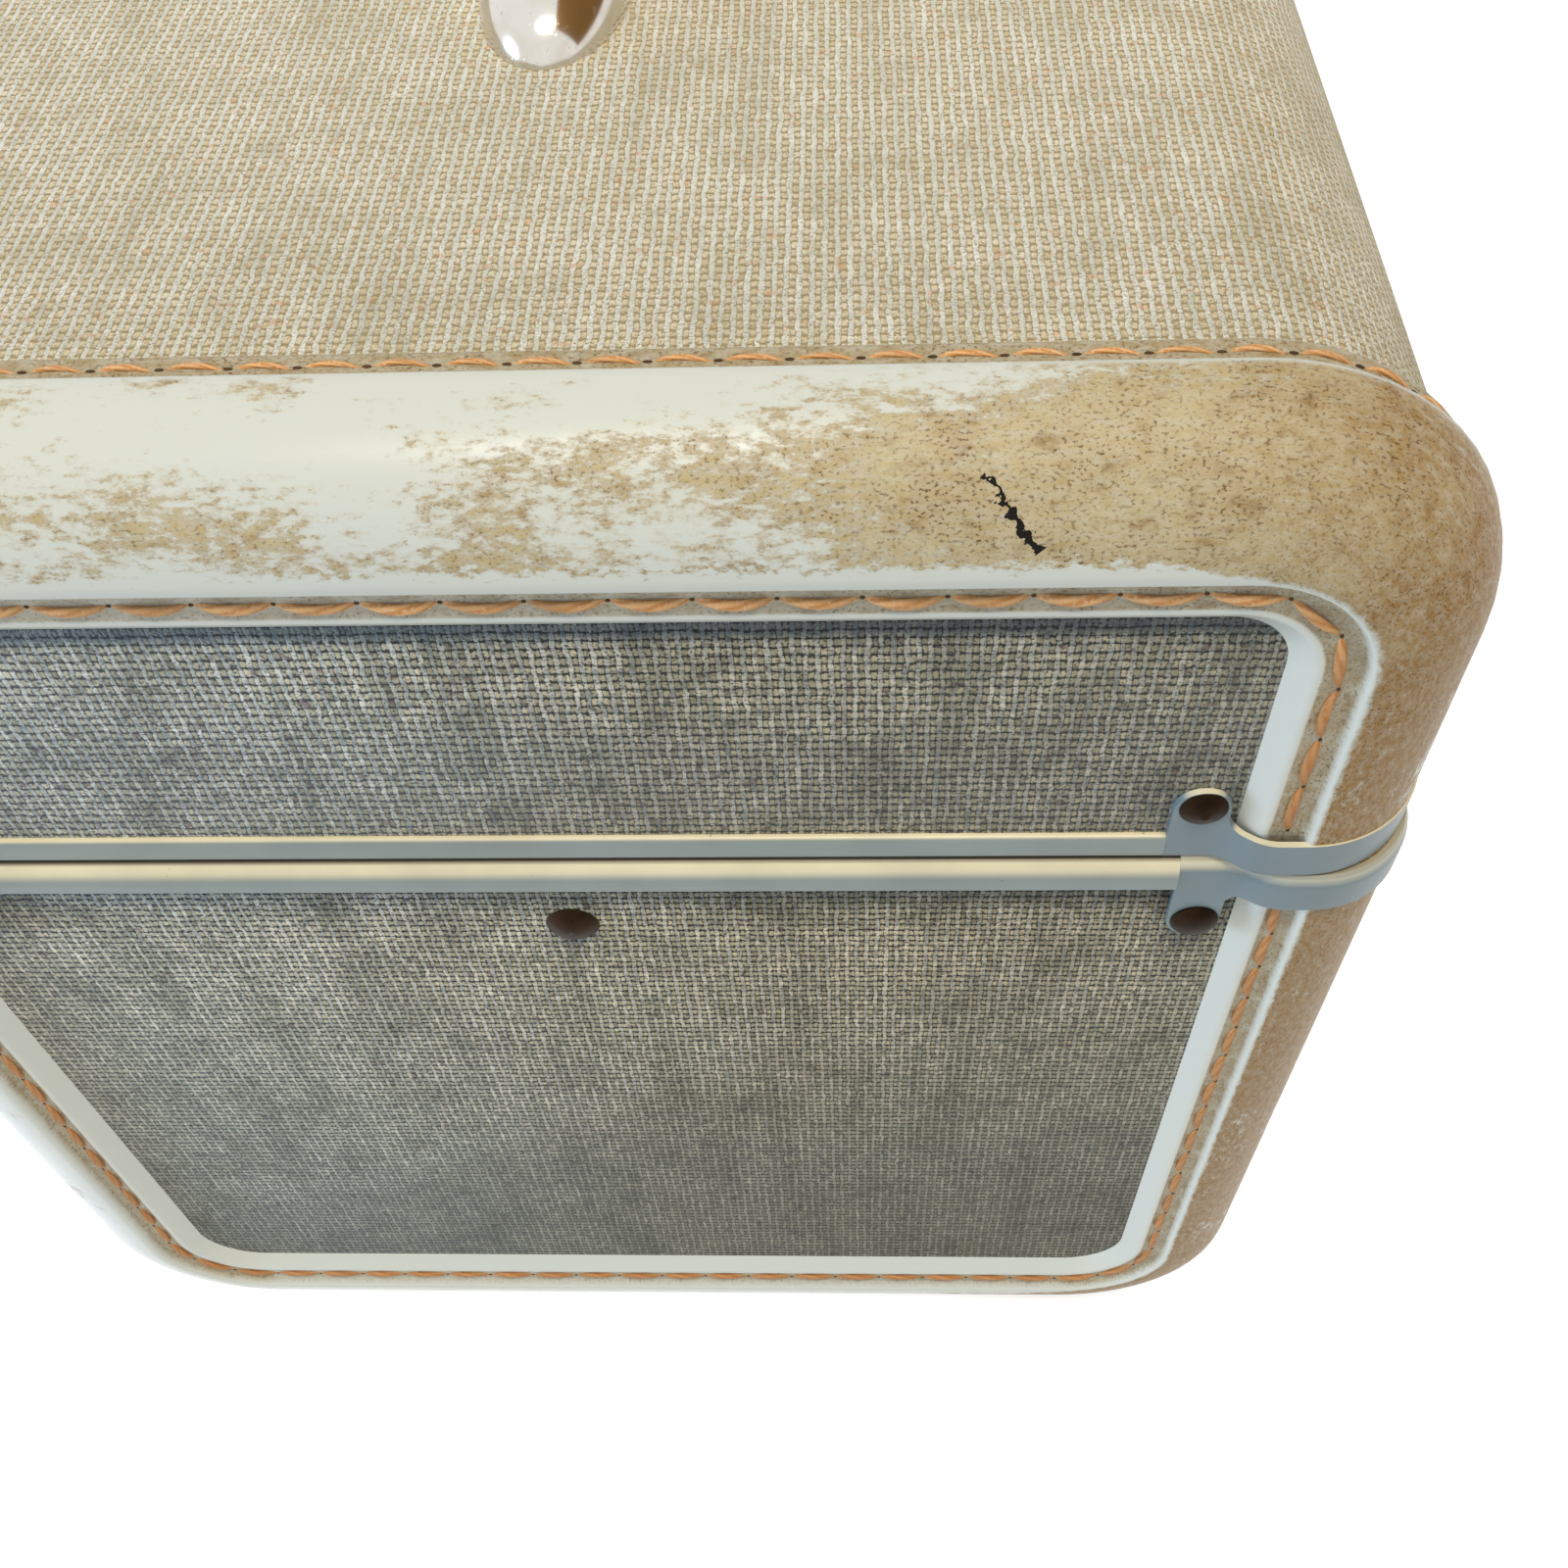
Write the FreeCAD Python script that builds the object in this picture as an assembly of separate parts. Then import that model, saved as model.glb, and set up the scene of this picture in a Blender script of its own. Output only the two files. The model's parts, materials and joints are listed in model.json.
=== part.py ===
"""Hard-sided train case: board box in tweed, moulded end bindings, hinged lid, latches and bail handle.

Millimetres. +Z is up, +X points at one end, +Y is the hinge side. The origin is under the middle of
the case, on the surface it stands on.
"""
import FreeCAD, Part
import math
import os

from FreeCAD import Rotation, Vector

# Driving dimensions of the covered box
HALF_LENGTH = 151.5
HALF_DEPTH = 98.5
FOOT_HEIGHT = 5.0
BOX_HEIGHT = 203.5
CORNER_RADIUS = 26.0
LID_DEPTH = 59.4
SPLIT_GAP = 0.8

# Layers of the wall, from outside to inside
CLOTH = 0.6
BOARD = 4.0
LINING = 1.0

# Moulded binding: how far it reaches in from the cloth planes, and how far it stands proud
LID_RIM = 19.3
LID_RIDGE = 11.5
BODY_RIM = 16.4
BODY_RIDGE = 9.1
ROLL_PROUD_END = 3.4
ROLL_PROUD_SIDE = 3.0
FLANGE_THICK = 2.3
FLANGE_SLOPE = 2.7
FLANGE_REACH = 6.5
FLANGE_STEP = 0.9
BOARD_EDGE_COVER = 0.5

# Closure bands along the split
LID_BAND_HEIGHT = 3.6
LID_BAND_PROUD = 0.9
BODY_BAND_HEIGHT = 5.0
BODY_BAND_LEDGE = 2.0
BODY_BAND_PROUD = 2.0

# Corner clips over the ends of the bindings
LID_CLIP_THICK = 0.8
BODY_CLIP_THICK = 1.6
CLIP_LIP = 0.6
CLIP_TAB_WIDTH = 6.7
LID_TAB_OUTER = 20.3
BODY_TAB_OUTER = 18.0
STRAP_TOE_GAP = 1.2
STRAP_CREST = 2.8
STRAP_BEND_EASE = 0.35
LID_STRAP = 5.6
BODY_STRAP = 6.0
LID_TAB = 12.4
BODY_TAB = 15.6
LID_TAB_RIVET = 9.6
BODY_TAB_RIVET = 12.2
CLIP_RIVET_HEAD = 2.9
CLIP_RIVET_RISE = 1.3
RIVET_SHANK = 1.2
SMALL_RIVET_HEAD = 2.4
SMALL_RIVET_RISE = 0.9

# Lid hinges on the back
HINGE_AXIS_Y = 103.0
HINGE_X = 95.0
HINGE_WIDTH = 30.0
HINGE_BARREL = 3.0
HINGE_PIN = 1.5
HINGE_PEEN = 0.8
HINGE_PEEN_LIP = 0.7
HINGE_RUNNING = 0.05
HINGE_BAND_CLEAR = 1.5
KNUCKLE_GAP = 0.4
LEAF_THICK = 1.0
LEAF_HEIGHT = 19.0
LEAF_START = 5.0
LEAF_RIVET_SPREAD = 10.0
LEAF_RIVET_UP = 0.6
WEB_OUTER = 2.7
WEB_INNER = 1.5
WEB_INNER_BACK = 1.8
LID_OPEN_DEG = 95.0

# Lid stays inside each end
STAY_STUD_DROP = 15.2
STAY_THICK = 1.5
STAY_CLEAR = 0.5
STAY_PIN = 2.0
STAY_SLOT_CLEAR = 0.35
STAY_EDGE = 4.5
STAY_EYE = 5.5
STAY_HEAD = 4.0
STAY_HEAD_THICK = 1.2
STUD_HEAD = 3.5
STUD_RISE = 1.6

# Latches on the front
LATCH_X = 80.0
LATCH_HALF_WIDTH = 22.0
LATCH_DEPTH = 4.9
LATCH_HEIGHT = 35.0
LATCH_WALL = 1.2
LATCH_TOP_DROP = 0.8
LATCH_BAND_CLEAR = 0.3
LATCH_EAR = 5.5
LATCH_EAR_HEIGHT = 20.0
LATCH_EAR_RIVET = 6.0
LATCH_EDGE = 1.5
TONGUE_HALF_WIDTH = 8.0
TONGUE_THICK = 1.2
TONGUE_OFFSET = 1.7
TONGUE_DEPTH = 9.6
TONGUE_CLEAR = 0.8
STRIKE_HALF_WIDTH = 16.0
STRIKE_HEIGHT = 17.0
STRIKE_CORNER = 3.0
BUTTON_TRAVEL = 6.0
BUTTON_DROP = 21.0
BUTTON_HALF_WIDTH = 10.0
BUTTON_HALF_HEIGHT = 6.0
BUTTON_REACH = 7.5
BUTTON_STEM = 3.0
BUTTON_STEM_CLEAR = 0.5
BUTTON_LIFT = 0.4
BUTTON_EDGE = 0.9
BUTTON_GROOVES = 5
BUTTON_GROOVE_PITCH = 2.6
BUTTON_GROOVE = 1.0
BUTTON_GROOVE_DEEP = 0.6
BUTTON_GROOVE_HALF = 4.0
KEEPER_CLEAR = 0.3
KEEPER_THICK = 1.2
KEEPER_HALF_WIDTH = 6.0
KEEPER_HALF_HEIGHT = 5.0
RAMP_START = 3.8
RAMP_CREST = 6.5
RAMP_END = 9.5
RAMP_WALL_GAP = 0.8
SPRING_THICK = 0.5
SPRING_HALF_WIDTH = 3.5
SPRING_FOOT_CLEAR = 0.3
SPRING_FOOT = 4.0
SPRING_STAND_OFF = 0.9
SPRING_HOOK_UP = 3.2
SPRING_HOOK_THICK = 0.8
WINDOW_LOW = 1.6
WINDOW_HIGH = 5.6
WINDOW_SIDE = 1.0

# Handle and its mounts on the lid
MOUNT_INNER_X = 51.0
MOUNT_LENGTH = 31.5
MOUNT_NOSE = 18.0
MOUNT_HALF_WIDTH = 9.4
MOUNT_HEIGHT = 8.6
MOUNT_SCREWS_ALONG = (8.0, 22.0)
SCREW_RADIUS = 1.6
SCREW_TAIL = 1.0
WASHER_RADIUS = 5.0
WASHER_THICK = 0.8
NUT_RADIUS = 3.2
NUT_THICK = 2.6
HANDLE_AXIS_RISE = 4.8
HANDLE_PIN = 2.5
HANDLE_RUNNING = 0.06
HANDLE_BORE_DEPTH = 8.0
HANDLE_PIN_DEPTH = 6.0
HANDLE_LEG_X = 47.0
HANDLE_LEG = 3.2
HANDLE_BOSS = 4.2
HANDLE_BOSS_HALF = 3.4
HANDLE_REACH = 40.0
HANDLE_BEND = 14.0
HANDLE_TENON = 6.0
GRIP_RADIUS = 7.0
GRIP_END_RADIUS = 5.6
GRIP_REST_CLEAR = 0.6

# Feet under the body
FOOT_X = 112.0
FOOT_Y = 66.0
FOOT_RADIUS = 9.0
FOOT_EDGE = 2.0

# Worked out from the driving dimensions
BOTTOM_Z = FOOT_HEIGHT
TOP_Z = BOTTOM_Z + BOX_HEIGHT
SPLIT_Z = TOP_Z - LID_DEPTH
WALL = CLOTH + BOARD
STAY_OUTER_X = HALF_LENGTH - WALL - LINING - STAY_CLEAR
STAY_INNER_X = STAY_OUTER_X - STAY_THICK
ROOMY = 1000.0


class Half:
    """What differs between the lid and the body: which way it faces and how wide its binding is."""

    def __init__(self, name, way, rim, ridge, strap, tab, tab_rivet, tab_outer, clip_thick, ledge):
        self.name = name
        self.way = way
        self.rim = rim
        self.ridge = ridge
        self.strap = strap
        self.tab = tab
        self.tab_rivet = tab_rivet
        self.tab_outer = tab_outer
        self.clip_thick = clip_thick
        self.ledge = ledge
        self.tab_inner = tab_outer + CLIP_TAB_WIDTH
        self.rivet_inset = tab_outer + CLIP_TAB_WIDTH / 2
        self.edge = ridge - BOARD_EDGE_COVER
        self.cap_z = TOP_Z if way > 0 else BOTTOM_Z
        self.mouth_z = SPLIT_Z + way * SPLIT_GAP / 2
        self.roll = ridge + ROLL_PROUD_SIDE
        self.roll_u = ROLL_PROUD_END - self.roll
        self.toe_u = self.roll_u - FLANGE_REACH

    def keep(self, shape):
        """The part of a shape on this side of the split."""
        low = self.mouth_z if self.way > 0 else -ROOMY
        room = Part.makeBox(2 * ROOMY, 2 * ROOMY, ROOMY + self.mouth_z, Vector(-ROOMY, -ROOMY, low))
        return shape.common(room)


LID = Half("lid", 1, LID_RIM, LID_RIDGE, LID_STRAP, LID_TAB, LID_TAB_RIVET,
           LID_TAB_OUTER, LID_CLIP_THICK, 0)
BODY = Half("body", -1, BODY_RIM, BODY_RIDGE, BODY_STRAP, BODY_TAB, BODY_TAB_RIVET,
            BODY_TAB_OUTER, BODY_CLIP_THICK, BODY_BAND_LEDGE)
ENDS = {"left": -1, "right": 1}
SIDES = {"front": -1, "back": 1}


def box(x, y, z):
    """A box from pairs of limits along X, Y and Z, given in any order."""
    low = Vector(min(x), min(y), min(z))
    return Part.makeBox(abs(x[1] - x[0]), abs(y[1] - y[0]), abs(z[1] - z[0]), low)


def rod(radius, start, end):
    """A round bar from one point to another."""
    return Part.makeCylinder(radius, (end - start).Length, start, end - start)


def closed_face(steps, place):
    """A face from an outline: each step is a point, or a pair of an arc's middle point and its end."""
    edges = []
    here = place(*steps[0])
    for step in list(steps[1:]) + [steps[0]]:
        if isinstance(step[0], tuple):
            middle, end = place(*step[0]), place(*step[1])
            edges.append(Part.Arc(here, middle, end).toShape())
        else:
            end = place(*step)
            edges.append(Part.LineSegment(here, end).toShape())
        here = end
    return Part.Face(Part.Wire(edges))


def joined(shapes):
    """Several touching solids as one, with the seams between them removed."""
    return shapes[0].fuse(shapes[1:]).removeSplitter()


def without(shape, tools):
    """A shape with every tool that reaches it cut away."""
    near = [tool for tool in tools if shape.BoundBox.intersect(tool.BoundBox)]
    return shape.cut(near) if near else shape


def prism(inset, half_length):
    """The box's rounded cross-section, drawn in from the cloth planes, run along X."""
    depth = HALF_DEPTH - inset
    low, high = BOTTOM_Z + inset, TOP_Z - inset
    radius = CORNER_RADIUS - inset
    slab = box((-half_length, half_length), (-depth, depth), (low, high))
    return slab.makeFillet(radius, [e for e in slab.Edges if abs(e.Vertexes[0].X - e.Vertexes[1].X) > 1])


def chamfered_prism(inset, half_length, chamfer):
    """The same prism with the edges of its two end faces cut off at 45 degrees."""
    shape = prism(inset, half_length)
    rims = [e for e in shape.Edges if abs(abs(e.CenterOfMass.x) - half_length) < 1e-6]
    return shape.makeChamfer(chamfer, rims)


def wrap_board(half):
    length = HALF_LENGTH - half.edge
    return half.keep(prism(CLOTH, length).cut(prism(WALL, length)))


def wrap_cloth(half):
    length = HALF_LENGTH - half.edge
    return half.keep(prism(0, length).cut(prism(CLOTH, length)))


def end_sheet(half, end, outer, inner):
    """A flat end panel between two depths behind the end cloth plane."""
    sheet = half.keep(prism(half.edge, HALF_LENGTH))
    near, far = end * (HALF_LENGTH - outer), end * (HALF_LENGTH - inner)
    return sheet.common(box((near, far), (-ROOMY, ROOMY), (-ROOMY, ROOMY)))


def lining(half):
    """A thin tub inside the boards, with the same bevel as the binding's hidden back."""
    inner = WALL + LINING
    bevel = half.edge - WALL
    inner_bevel = half.edge + WALL + LINING * math.sqrt(2) - 2 * inner
    shell = chamfered_prism(WALL, HALF_LENGTH - WALL, bevel)
    hollow = chamfered_prism(inner, HALF_LENGTH - inner, inner_bevel)
    return half.keep(shell.cut(hollow))


def binding_back(half):
    """The hidden part of the binding's outline: it grips both boards' edges and bevels between them."""
    return [(-half.edge, 0), (-half.edge, -WALL), (-WALL, -half.edge), (0, -half.edge)]


def roll_arc(half, grow):
    """The round of the binding as an arc: its middle point and its end, grown outwards."""
    slant = (half.roll + grow) / math.sqrt(2)
    centre_v = -half.ridge
    middle = (half.roll_u + slant, centre_v + slant)
    return middle, (half.roll_u, centre_v + half.roll + grow)


def binding_outline(half):
    """Outline of the binding: u is outwards from the end panel, v outwards from the wrap."""
    top = FLANGE_THICK
    return [
        (0, -half.rim),
        (top, -half.rim + FLANGE_SLOPE),
        (top, -half.ridge - FLANGE_STEP),
        (ROLL_PROUD_END, -half.ridge),
        roll_arc(half, 0),
        (half.roll_u - FLANGE_STEP, top),
        (half.toe_u + FLANGE_SLOPE, top),
        (half.toe_u, 0),
    ] + binding_back(half)


def binding(half, end):
    """One moulded binding: two straight legs, two quarter turns and the run between them."""
    outline = binding_outline(half)
    turn_y = HALF_DEPTH - CORNER_RADIUS
    turn_z = half.cap_z - half.way * CORNER_RADIUS
    to_turn = Vector(0, 0, turn_z - half.mouth_z)

    def along(u):
        return end * (HALF_LENGTH + u)

    pieces = []
    for side in SIDES.values():
        leg = closed_face(outline, lambda u, v: Vector(along(u), side * (HALF_DEPTH + v), half.mouth_z))
        pieces.append(leg.extrude(to_turn))
        turned = leg.translated(to_turn)
        pieces.append(turned.revolve(Vector(0, side * turn_y, turn_z), Vector(1, 0, 0), 90 * side * half.way))
    run = closed_face(outline, lambda u, v: Vector(along(u), -turn_y, half.cap_z + half.way * v))
    pieces.append(run.extrude(Vector(0, 2 * turn_y, 0)))
    return joined(pieces)


def strap_outline(half, t):
    """Outline of a strap of thickness t: flat at both tabs, bent up over the flanges and round the roll."""
    ease = t * STRAP_BEND_EASE
    leave_v, reach_v = half.rim + STRAP_TOE_GAP, half.rim - STRAP_CREST
    leave_u, reach_u = half.toe_u - STRAP_TOE_GAP, half.toe_u + STRAP_CREST
    end_top, side_top = ROLL_PROUD_END, ROLL_PROUD_SIDE
    inner_middle = roll_arc(half, 0)[0]
    return [
        (t, -half.tab_inner),
        (t, -leave_v - ease),
        (end_top + t, -reach_v - ease),
        (end_top + t, -half.ridge),
        roll_arc(half, t),
        (reach_u - ease, side_top + t),
        (leave_u - ease, t),
        (-half.tab_inner, t),
        (-half.tab_inner, 0),
        (leave_u, 0),
        (reach_u, side_top),
        (half.roll_u, side_top),
        (inner_middle, (end_top, -half.ridge)),
        (end_top, -reach_v),
        (0, -leave_v),
        (0, -half.tab_inner),
    ]


def clip(half, end, side):
    """A corner clip: a strap bent over the binding's end, with a riveted tab on each face."""
    ledge_z = half.mouth_z + half.way * half.ledge

    def section(t, z):
        return closed_face(
            strap_outline(half, t), lambda u, v: Vector(end * (HALF_LENGTH + u), side * (HALF_DEPTH + v), z))

    full = section(half.clip_thick, ledge_z)
    pieces = [full.extrude(Vector(0, 0, half.way * (half.strap - half.ledge)))]
    if half.ledge:
        lip = section(CLIP_LIP, half.mouth_z)
        pieces.append(Part.makeLoft([lip.OuterWire, full.OuterWire], True, True))
    round_radius = CLIP_TAB_WIDTH / 2
    round_z = SPLIT_Z + half.way * (half.tab - round_radius)
    end_face = (end * HALF_LENGTH, end * (HALF_LENGTH + half.clip_thick))
    side_face = (side * HALF_DEPTH, side * (HALF_DEPTH + half.clip_thick))
    end_y = [side * (HALF_DEPTH - inset) for inset in (half.tab_outer, half.tab_inner)]
    side_x = [end * (HALF_LENGTH - inset) for inset in (half.tab_outer, half.tab_inner)]
    mid_y, mid_x = sum(end_y) / 2, sum(side_x) / 2
    pieces += [
        box(end_face, end_y, (ledge_z, round_z)),
        box(side_x, side_face, (ledge_z, round_z)),
        rod(round_radius, Vector(end_face[0], mid_y, round_z), Vector(end_face[1], mid_y, round_z)),
        rod(round_radius, Vector(mid_x, side_face[0], round_z), Vector(mid_x, side_face[1], round_z)),
    ]
    return joined(pieces)


def rivet(seat, outward, head_radius, rise, shank_radius, shank_length):
    """A domed rivet whose head sits on a surface, with its shank running inwards."""
    ball = (head_radius ** 2 + rise ** 2) / (2 * rise)
    dome = Part.makeSphere(ball, Vector(0, 0, rise - ball))
    dome = dome.common(Part.makeCylinder(head_radius + 1, rise))
    whole = dome.fuse(Part.makeCylinder(shank_radius, shank_length, Vector(0, 0, -shank_length)))
    whole.rotate(Vector(0, 0, 0), *turn_to(outward))
    return whole.translated(seat)


def turn_to(direction):
    """Axis and angle that swing +Z round to a direction."""
    turn = Rotation(Vector(0, 0, 1), direction)
    return turn.Axis, math.degrees(turn.Angle)


def stay_pivot_place(end):
    """Where a stay turns on the lid: the inner face of the rear clip's end rivet."""
    return Vector(end * HALF_LENGTH, HALF_DEPTH - LID.rivet_inset, SPLIT_Z + LID_TAB_RIVET)


def stay_stud_place(end):
    return Vector(end * HALF_LENGTH, 0, SPLIT_Z - STAY_STUD_DROP)


def shouldered_stud(seat, end, head_radius, rise):
    """A stud with a domed outer head, a bearing length for a stay, and a flat inner head."""
    outward = Vector(end, 0, 0)
    inner = Vector(end * (STAY_INNER_X - STAY_CLEAR), seat.y, seat.z)
    stud = rivet(seat, outward, head_radius, rise, STAY_PIN, abs(seat.x - inner.x))
    head = rod(STAY_HEAD, inner, inner - outward * STAY_HEAD_THICK)
    return joined([stud, head])


def clip_rivets(half):
    """Rivets in the clips' tabs, and the bare cylinders of their shanks."""
    rivets, shanks = [], []
    z = SPLIT_Z + half.way * half.tab_rivet
    length = half.clip_thick + WALL
    for end in ENDS.values():
        for side in SIDES.values():
            on_end = Vector(end * (HALF_LENGTH + half.clip_thick), side * (HALF_DEPTH - half.rivet_inset), z)
            on_side = Vector(end * (HALF_LENGTH - half.rivet_inset), side * (HALF_DEPTH + half.clip_thick), z)
            for seat, outward in ((on_end, Vector(end, 0, 0)), (on_side, Vector(0, side, 0))):
                holds_stay = half is LID and side > 0 and seat is on_end
                if not holds_stay:
                    rivets.append(rivet(seat, outward, CLIP_RIVET_HEAD, CLIP_RIVET_RISE, RIVET_SHANK, length))
                    shanks.append(rod(RIVET_SHANK, seat, seat - outward * length))
    return rivets, shanks


def row_of_rivets(seats, outward, length):
    """Small rivets through a fitting, with their shanks."""
    rivets = [rivet(seat, outward, SMALL_RIVET_HEAD, SMALL_RIVET_RISE, RIVET_SHANK, length) for seat in seats]
    shanks = [rod(RIVET_SHANK, seat, seat - outward * length) for seat in seats]
    return rivets, shanks


def band_outline(half):
    """Section of a closure band: proud of the cloth, height from the split."""
    if half is LID:
        top = SPLIT_GAP / 2 + LID_BAND_HEIGHT
        bevel = LID_BAND_PROUD / 2
        return [(0, SPLIT_GAP / 2), (LID_BAND_PROUD, SPLIT_GAP / 2), (LID_BAND_PROUD, top - bevel),
                (LID_BAND_PROUD - bevel, top), (0, top)]
    ledge = -SPLIT_GAP / 2 - BODY_BAND_LEDGE
    foot = -SPLIT_GAP / 2 - BODY_BAND_HEIGHT
    return [(0, -SPLIT_GAP / 2), (LID_BAND_PROUD, -SPLIT_GAP / 2), (BODY_BAND_PROUD, ledge),
            (BODY_BAND_PROUD, foot), (0, foot)]


def end_band(half, end):
    reach = HALF_DEPTH - half.tab_inner
    face = closed_face(band_outline(half), lambda p, h: Vector(end * (HALF_LENGTH + p), -reach, SPLIT_Z + h))
    return face.extrude(Vector(0, 2 * reach, 0))


def side_band(half, side, gaps):
    """A band along the front or back, left open where a fitting crosses it."""
    reach = HALF_LENGTH - half.tab_inner
    face = closed_face(band_outline(half), lambda p, h: Vector(-reach, side * (HALF_DEPTH + p), SPLIT_Z + h))
    strip = face.extrude(Vector(2 * reach, 0, 0))
    for centre, half_width in gaps:
        gap = (centre - half_width, centre + half_width)
        strip = strip.cut(box(gap, (-ROOMY, ROOMY), (0, ROOMY)))
    return strip


def on_axis(x):
    """A point on the lid's hinge axis."""
    return Vector(x, HINGE_AXIS_Y, SPLIT_Z)


def hinge_leaf(half, centre_x):
    """A plate on the cloth, a web that steps out over the band, and its share of the three knuckles."""
    way = half.way
    barrel_half = HINGE_WIDTH / 2
    third = HINGE_WIDTH / 3
    axis_out = HINGE_AXIS_Y - HALF_DEPTH
    web = [(0, LEAF_START), (0, LEAF_START + LEAF_HEIGHT), (LEAF_THICK, LEAF_START + LEAF_HEIGHT),
           (LEAF_THICK, LEAF_START + LEAF_THICK), (axis_out, WEB_OUTER),
           (axis_out - WEB_INNER_BACK, WEB_INNER)]
    face = closed_face(web, lambda p, h: Vector(centre_x - barrel_half, HALF_DEPTH + p, SPLIT_Z + way * h))
    leaf = face.extrude(Vector(HINGE_WIDTH, 0, 0))
    whole_barrel = (centre_x - barrel_half, centre_x + barrel_half)
    middle = (centre_x - third / 2, centre_x + third / 2)
    barrel = rod(HINGE_BARREL, on_axis(whole_barrel[0]), on_axis(whole_barrel[1]))
    room = (-ROOMY, ROOMY)
    near_axis = (SPLIT_Z - LEAF_START, SPLIT_Z + LEAF_START)
    past_cloth = (HALF_DEPTH + LEAF_THICK, ROOMY)
    if half is LID:
        keep = box(middle, room, room)
        knuckle = barrel.common(keep)
        spare = [box((whole_barrel[0], middle[0]), past_cloth, near_axis),
                 box((middle[1], whole_barrel[1]), past_cloth, near_axis)]
        bore = HINGE_PIN + HINGE_RUNNING
    else:
        gap = box((middle[0] - KNUCKLE_GAP, middle[1] + KNUCKLE_GAP), past_cloth, near_axis)
        knuckle = barrel.cut(gap)
        spare = [gap]
        bore = HINGE_PIN
    leaf = leaf.cut(spare).fuse(knuckle).removeSplitter()
    return leaf.cut(rod(bore, on_axis(-ROOMY), on_axis(ROOMY)))


def hinge_pin(centre_x):
    """A pin along the barrel with a peened end at each side."""
    half = HINGE_WIDTH / 2
    peened = half + HINGE_PEEN
    lip = HINGE_PIN + HINGE_PEEN_LIP
    return joined([
        rod(HINGE_PIN, on_axis(centre_x - peened), on_axis(centre_x + peened)),
        rod(lip, on_axis(centre_x - peened), on_axis(centre_x - half)),
        rod(lip, on_axis(centre_x + half), on_axis(centre_x + peened)),
    ])


def hinge_rivet_seats(half):
    z = SPLIT_Z + half.way * (LEAF_START + LEAF_HEIGHT * LEAF_RIVET_UP)
    y = HALF_DEPTH + LEAF_THICK
    return [Vector(c + s * LEAF_RIVET_SPREAD, y, z) for c in (-HINGE_X, HINGE_X) for s in (-1, 1)]


def stay_arm(end):
    """A flat arm with a round eye and a slot curved so the arm can ride its stud without turning."""
    pivot = stay_pivot_place(end)
    stud = stay_stud_place(end)
    swing = math.hypot(pivot.y - HINGE_AXIS_Y, pivot.z - SPLIT_Z)
    start = math.atan2(pivot.z - SPLIT_Z, pivot.y - HINGE_AXIS_Y)
    centre_y = pivot.y + stud.y - HINGE_AXIS_Y
    centre_z = pivot.z + stud.z - SPLIT_Z

    def on_slot(opened_deg, radius):
        angle = start - math.radians(opened_deg)
        return Vector(STAY_INNER_X, centre_y - radius * math.cos(angle), centre_z - radius * math.sin(angle))

    def arc_band(half_width):
        ends = [rod(half_width, on_slot(a, swing), on_slot(a, swing) + thickness) for a in (0, LID_OPEN_DEG)]
        stops = (0, LID_OPEN_DEG / 2, LID_OPEN_DEG)
        far = [on_slot(a, swing + half_width) for a in stops]
        close = [on_slot(a, swing - half_width) for a in reversed(stops)]
        edges = [
            Part.Arc(*far).toShape(),
            Part.LineSegment(far[-1], close[0]).toShape(),
            Part.Arc(*close).toShape(),
            Part.LineSegment(close[-1], far[0]).toShape(),
        ]
        return joined([Part.Face(Part.Wire(edges)).extrude(thickness)] + ends)

    thickness = Vector(STAY_THICK, 0, 0)
    slot_half = STAY_PIN + STAY_SLOT_CLEAR
    outer_half = slot_half + STAY_EDGE
    eye = Vector(STAY_INNER_X, pivot.y, pivot.z)
    near = on_slot(0, swing)
    across = Vector(1, 0, 0).cross(near - eye)
    across.normalize()
    bar = Part.Face(Part.makePolygon([
        eye + across * STAY_EDGE, near + across * outer_half, near - across * outer_half,
        eye - across * STAY_EDGE, eye + across * STAY_EDGE])).extrude(thickness)
    arm = joined([arc_band(outer_half), bar, rod(STAY_EYE, eye, eye + thickness)])
    arm = arm.cut(arc_band(slot_half))
    arm = arm.cut(rod(STAY_PIN + HINGE_RUNNING, eye - thickness, eye + thickness * 2))
    return arm if end > 0 else arm.mirror(Vector(0, 0, 0), Vector(1, 0, 0))


LATCH_TOP_Z = SPLIT_Z - LATCH_TOP_DROP
TONGUE_TIP_Z = SPLIT_Z - TONGUE_DEPTH
BUTTON_Z = SPLIT_Z - BUTTON_DROP
FRONT = -HALF_DEPTH


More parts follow.
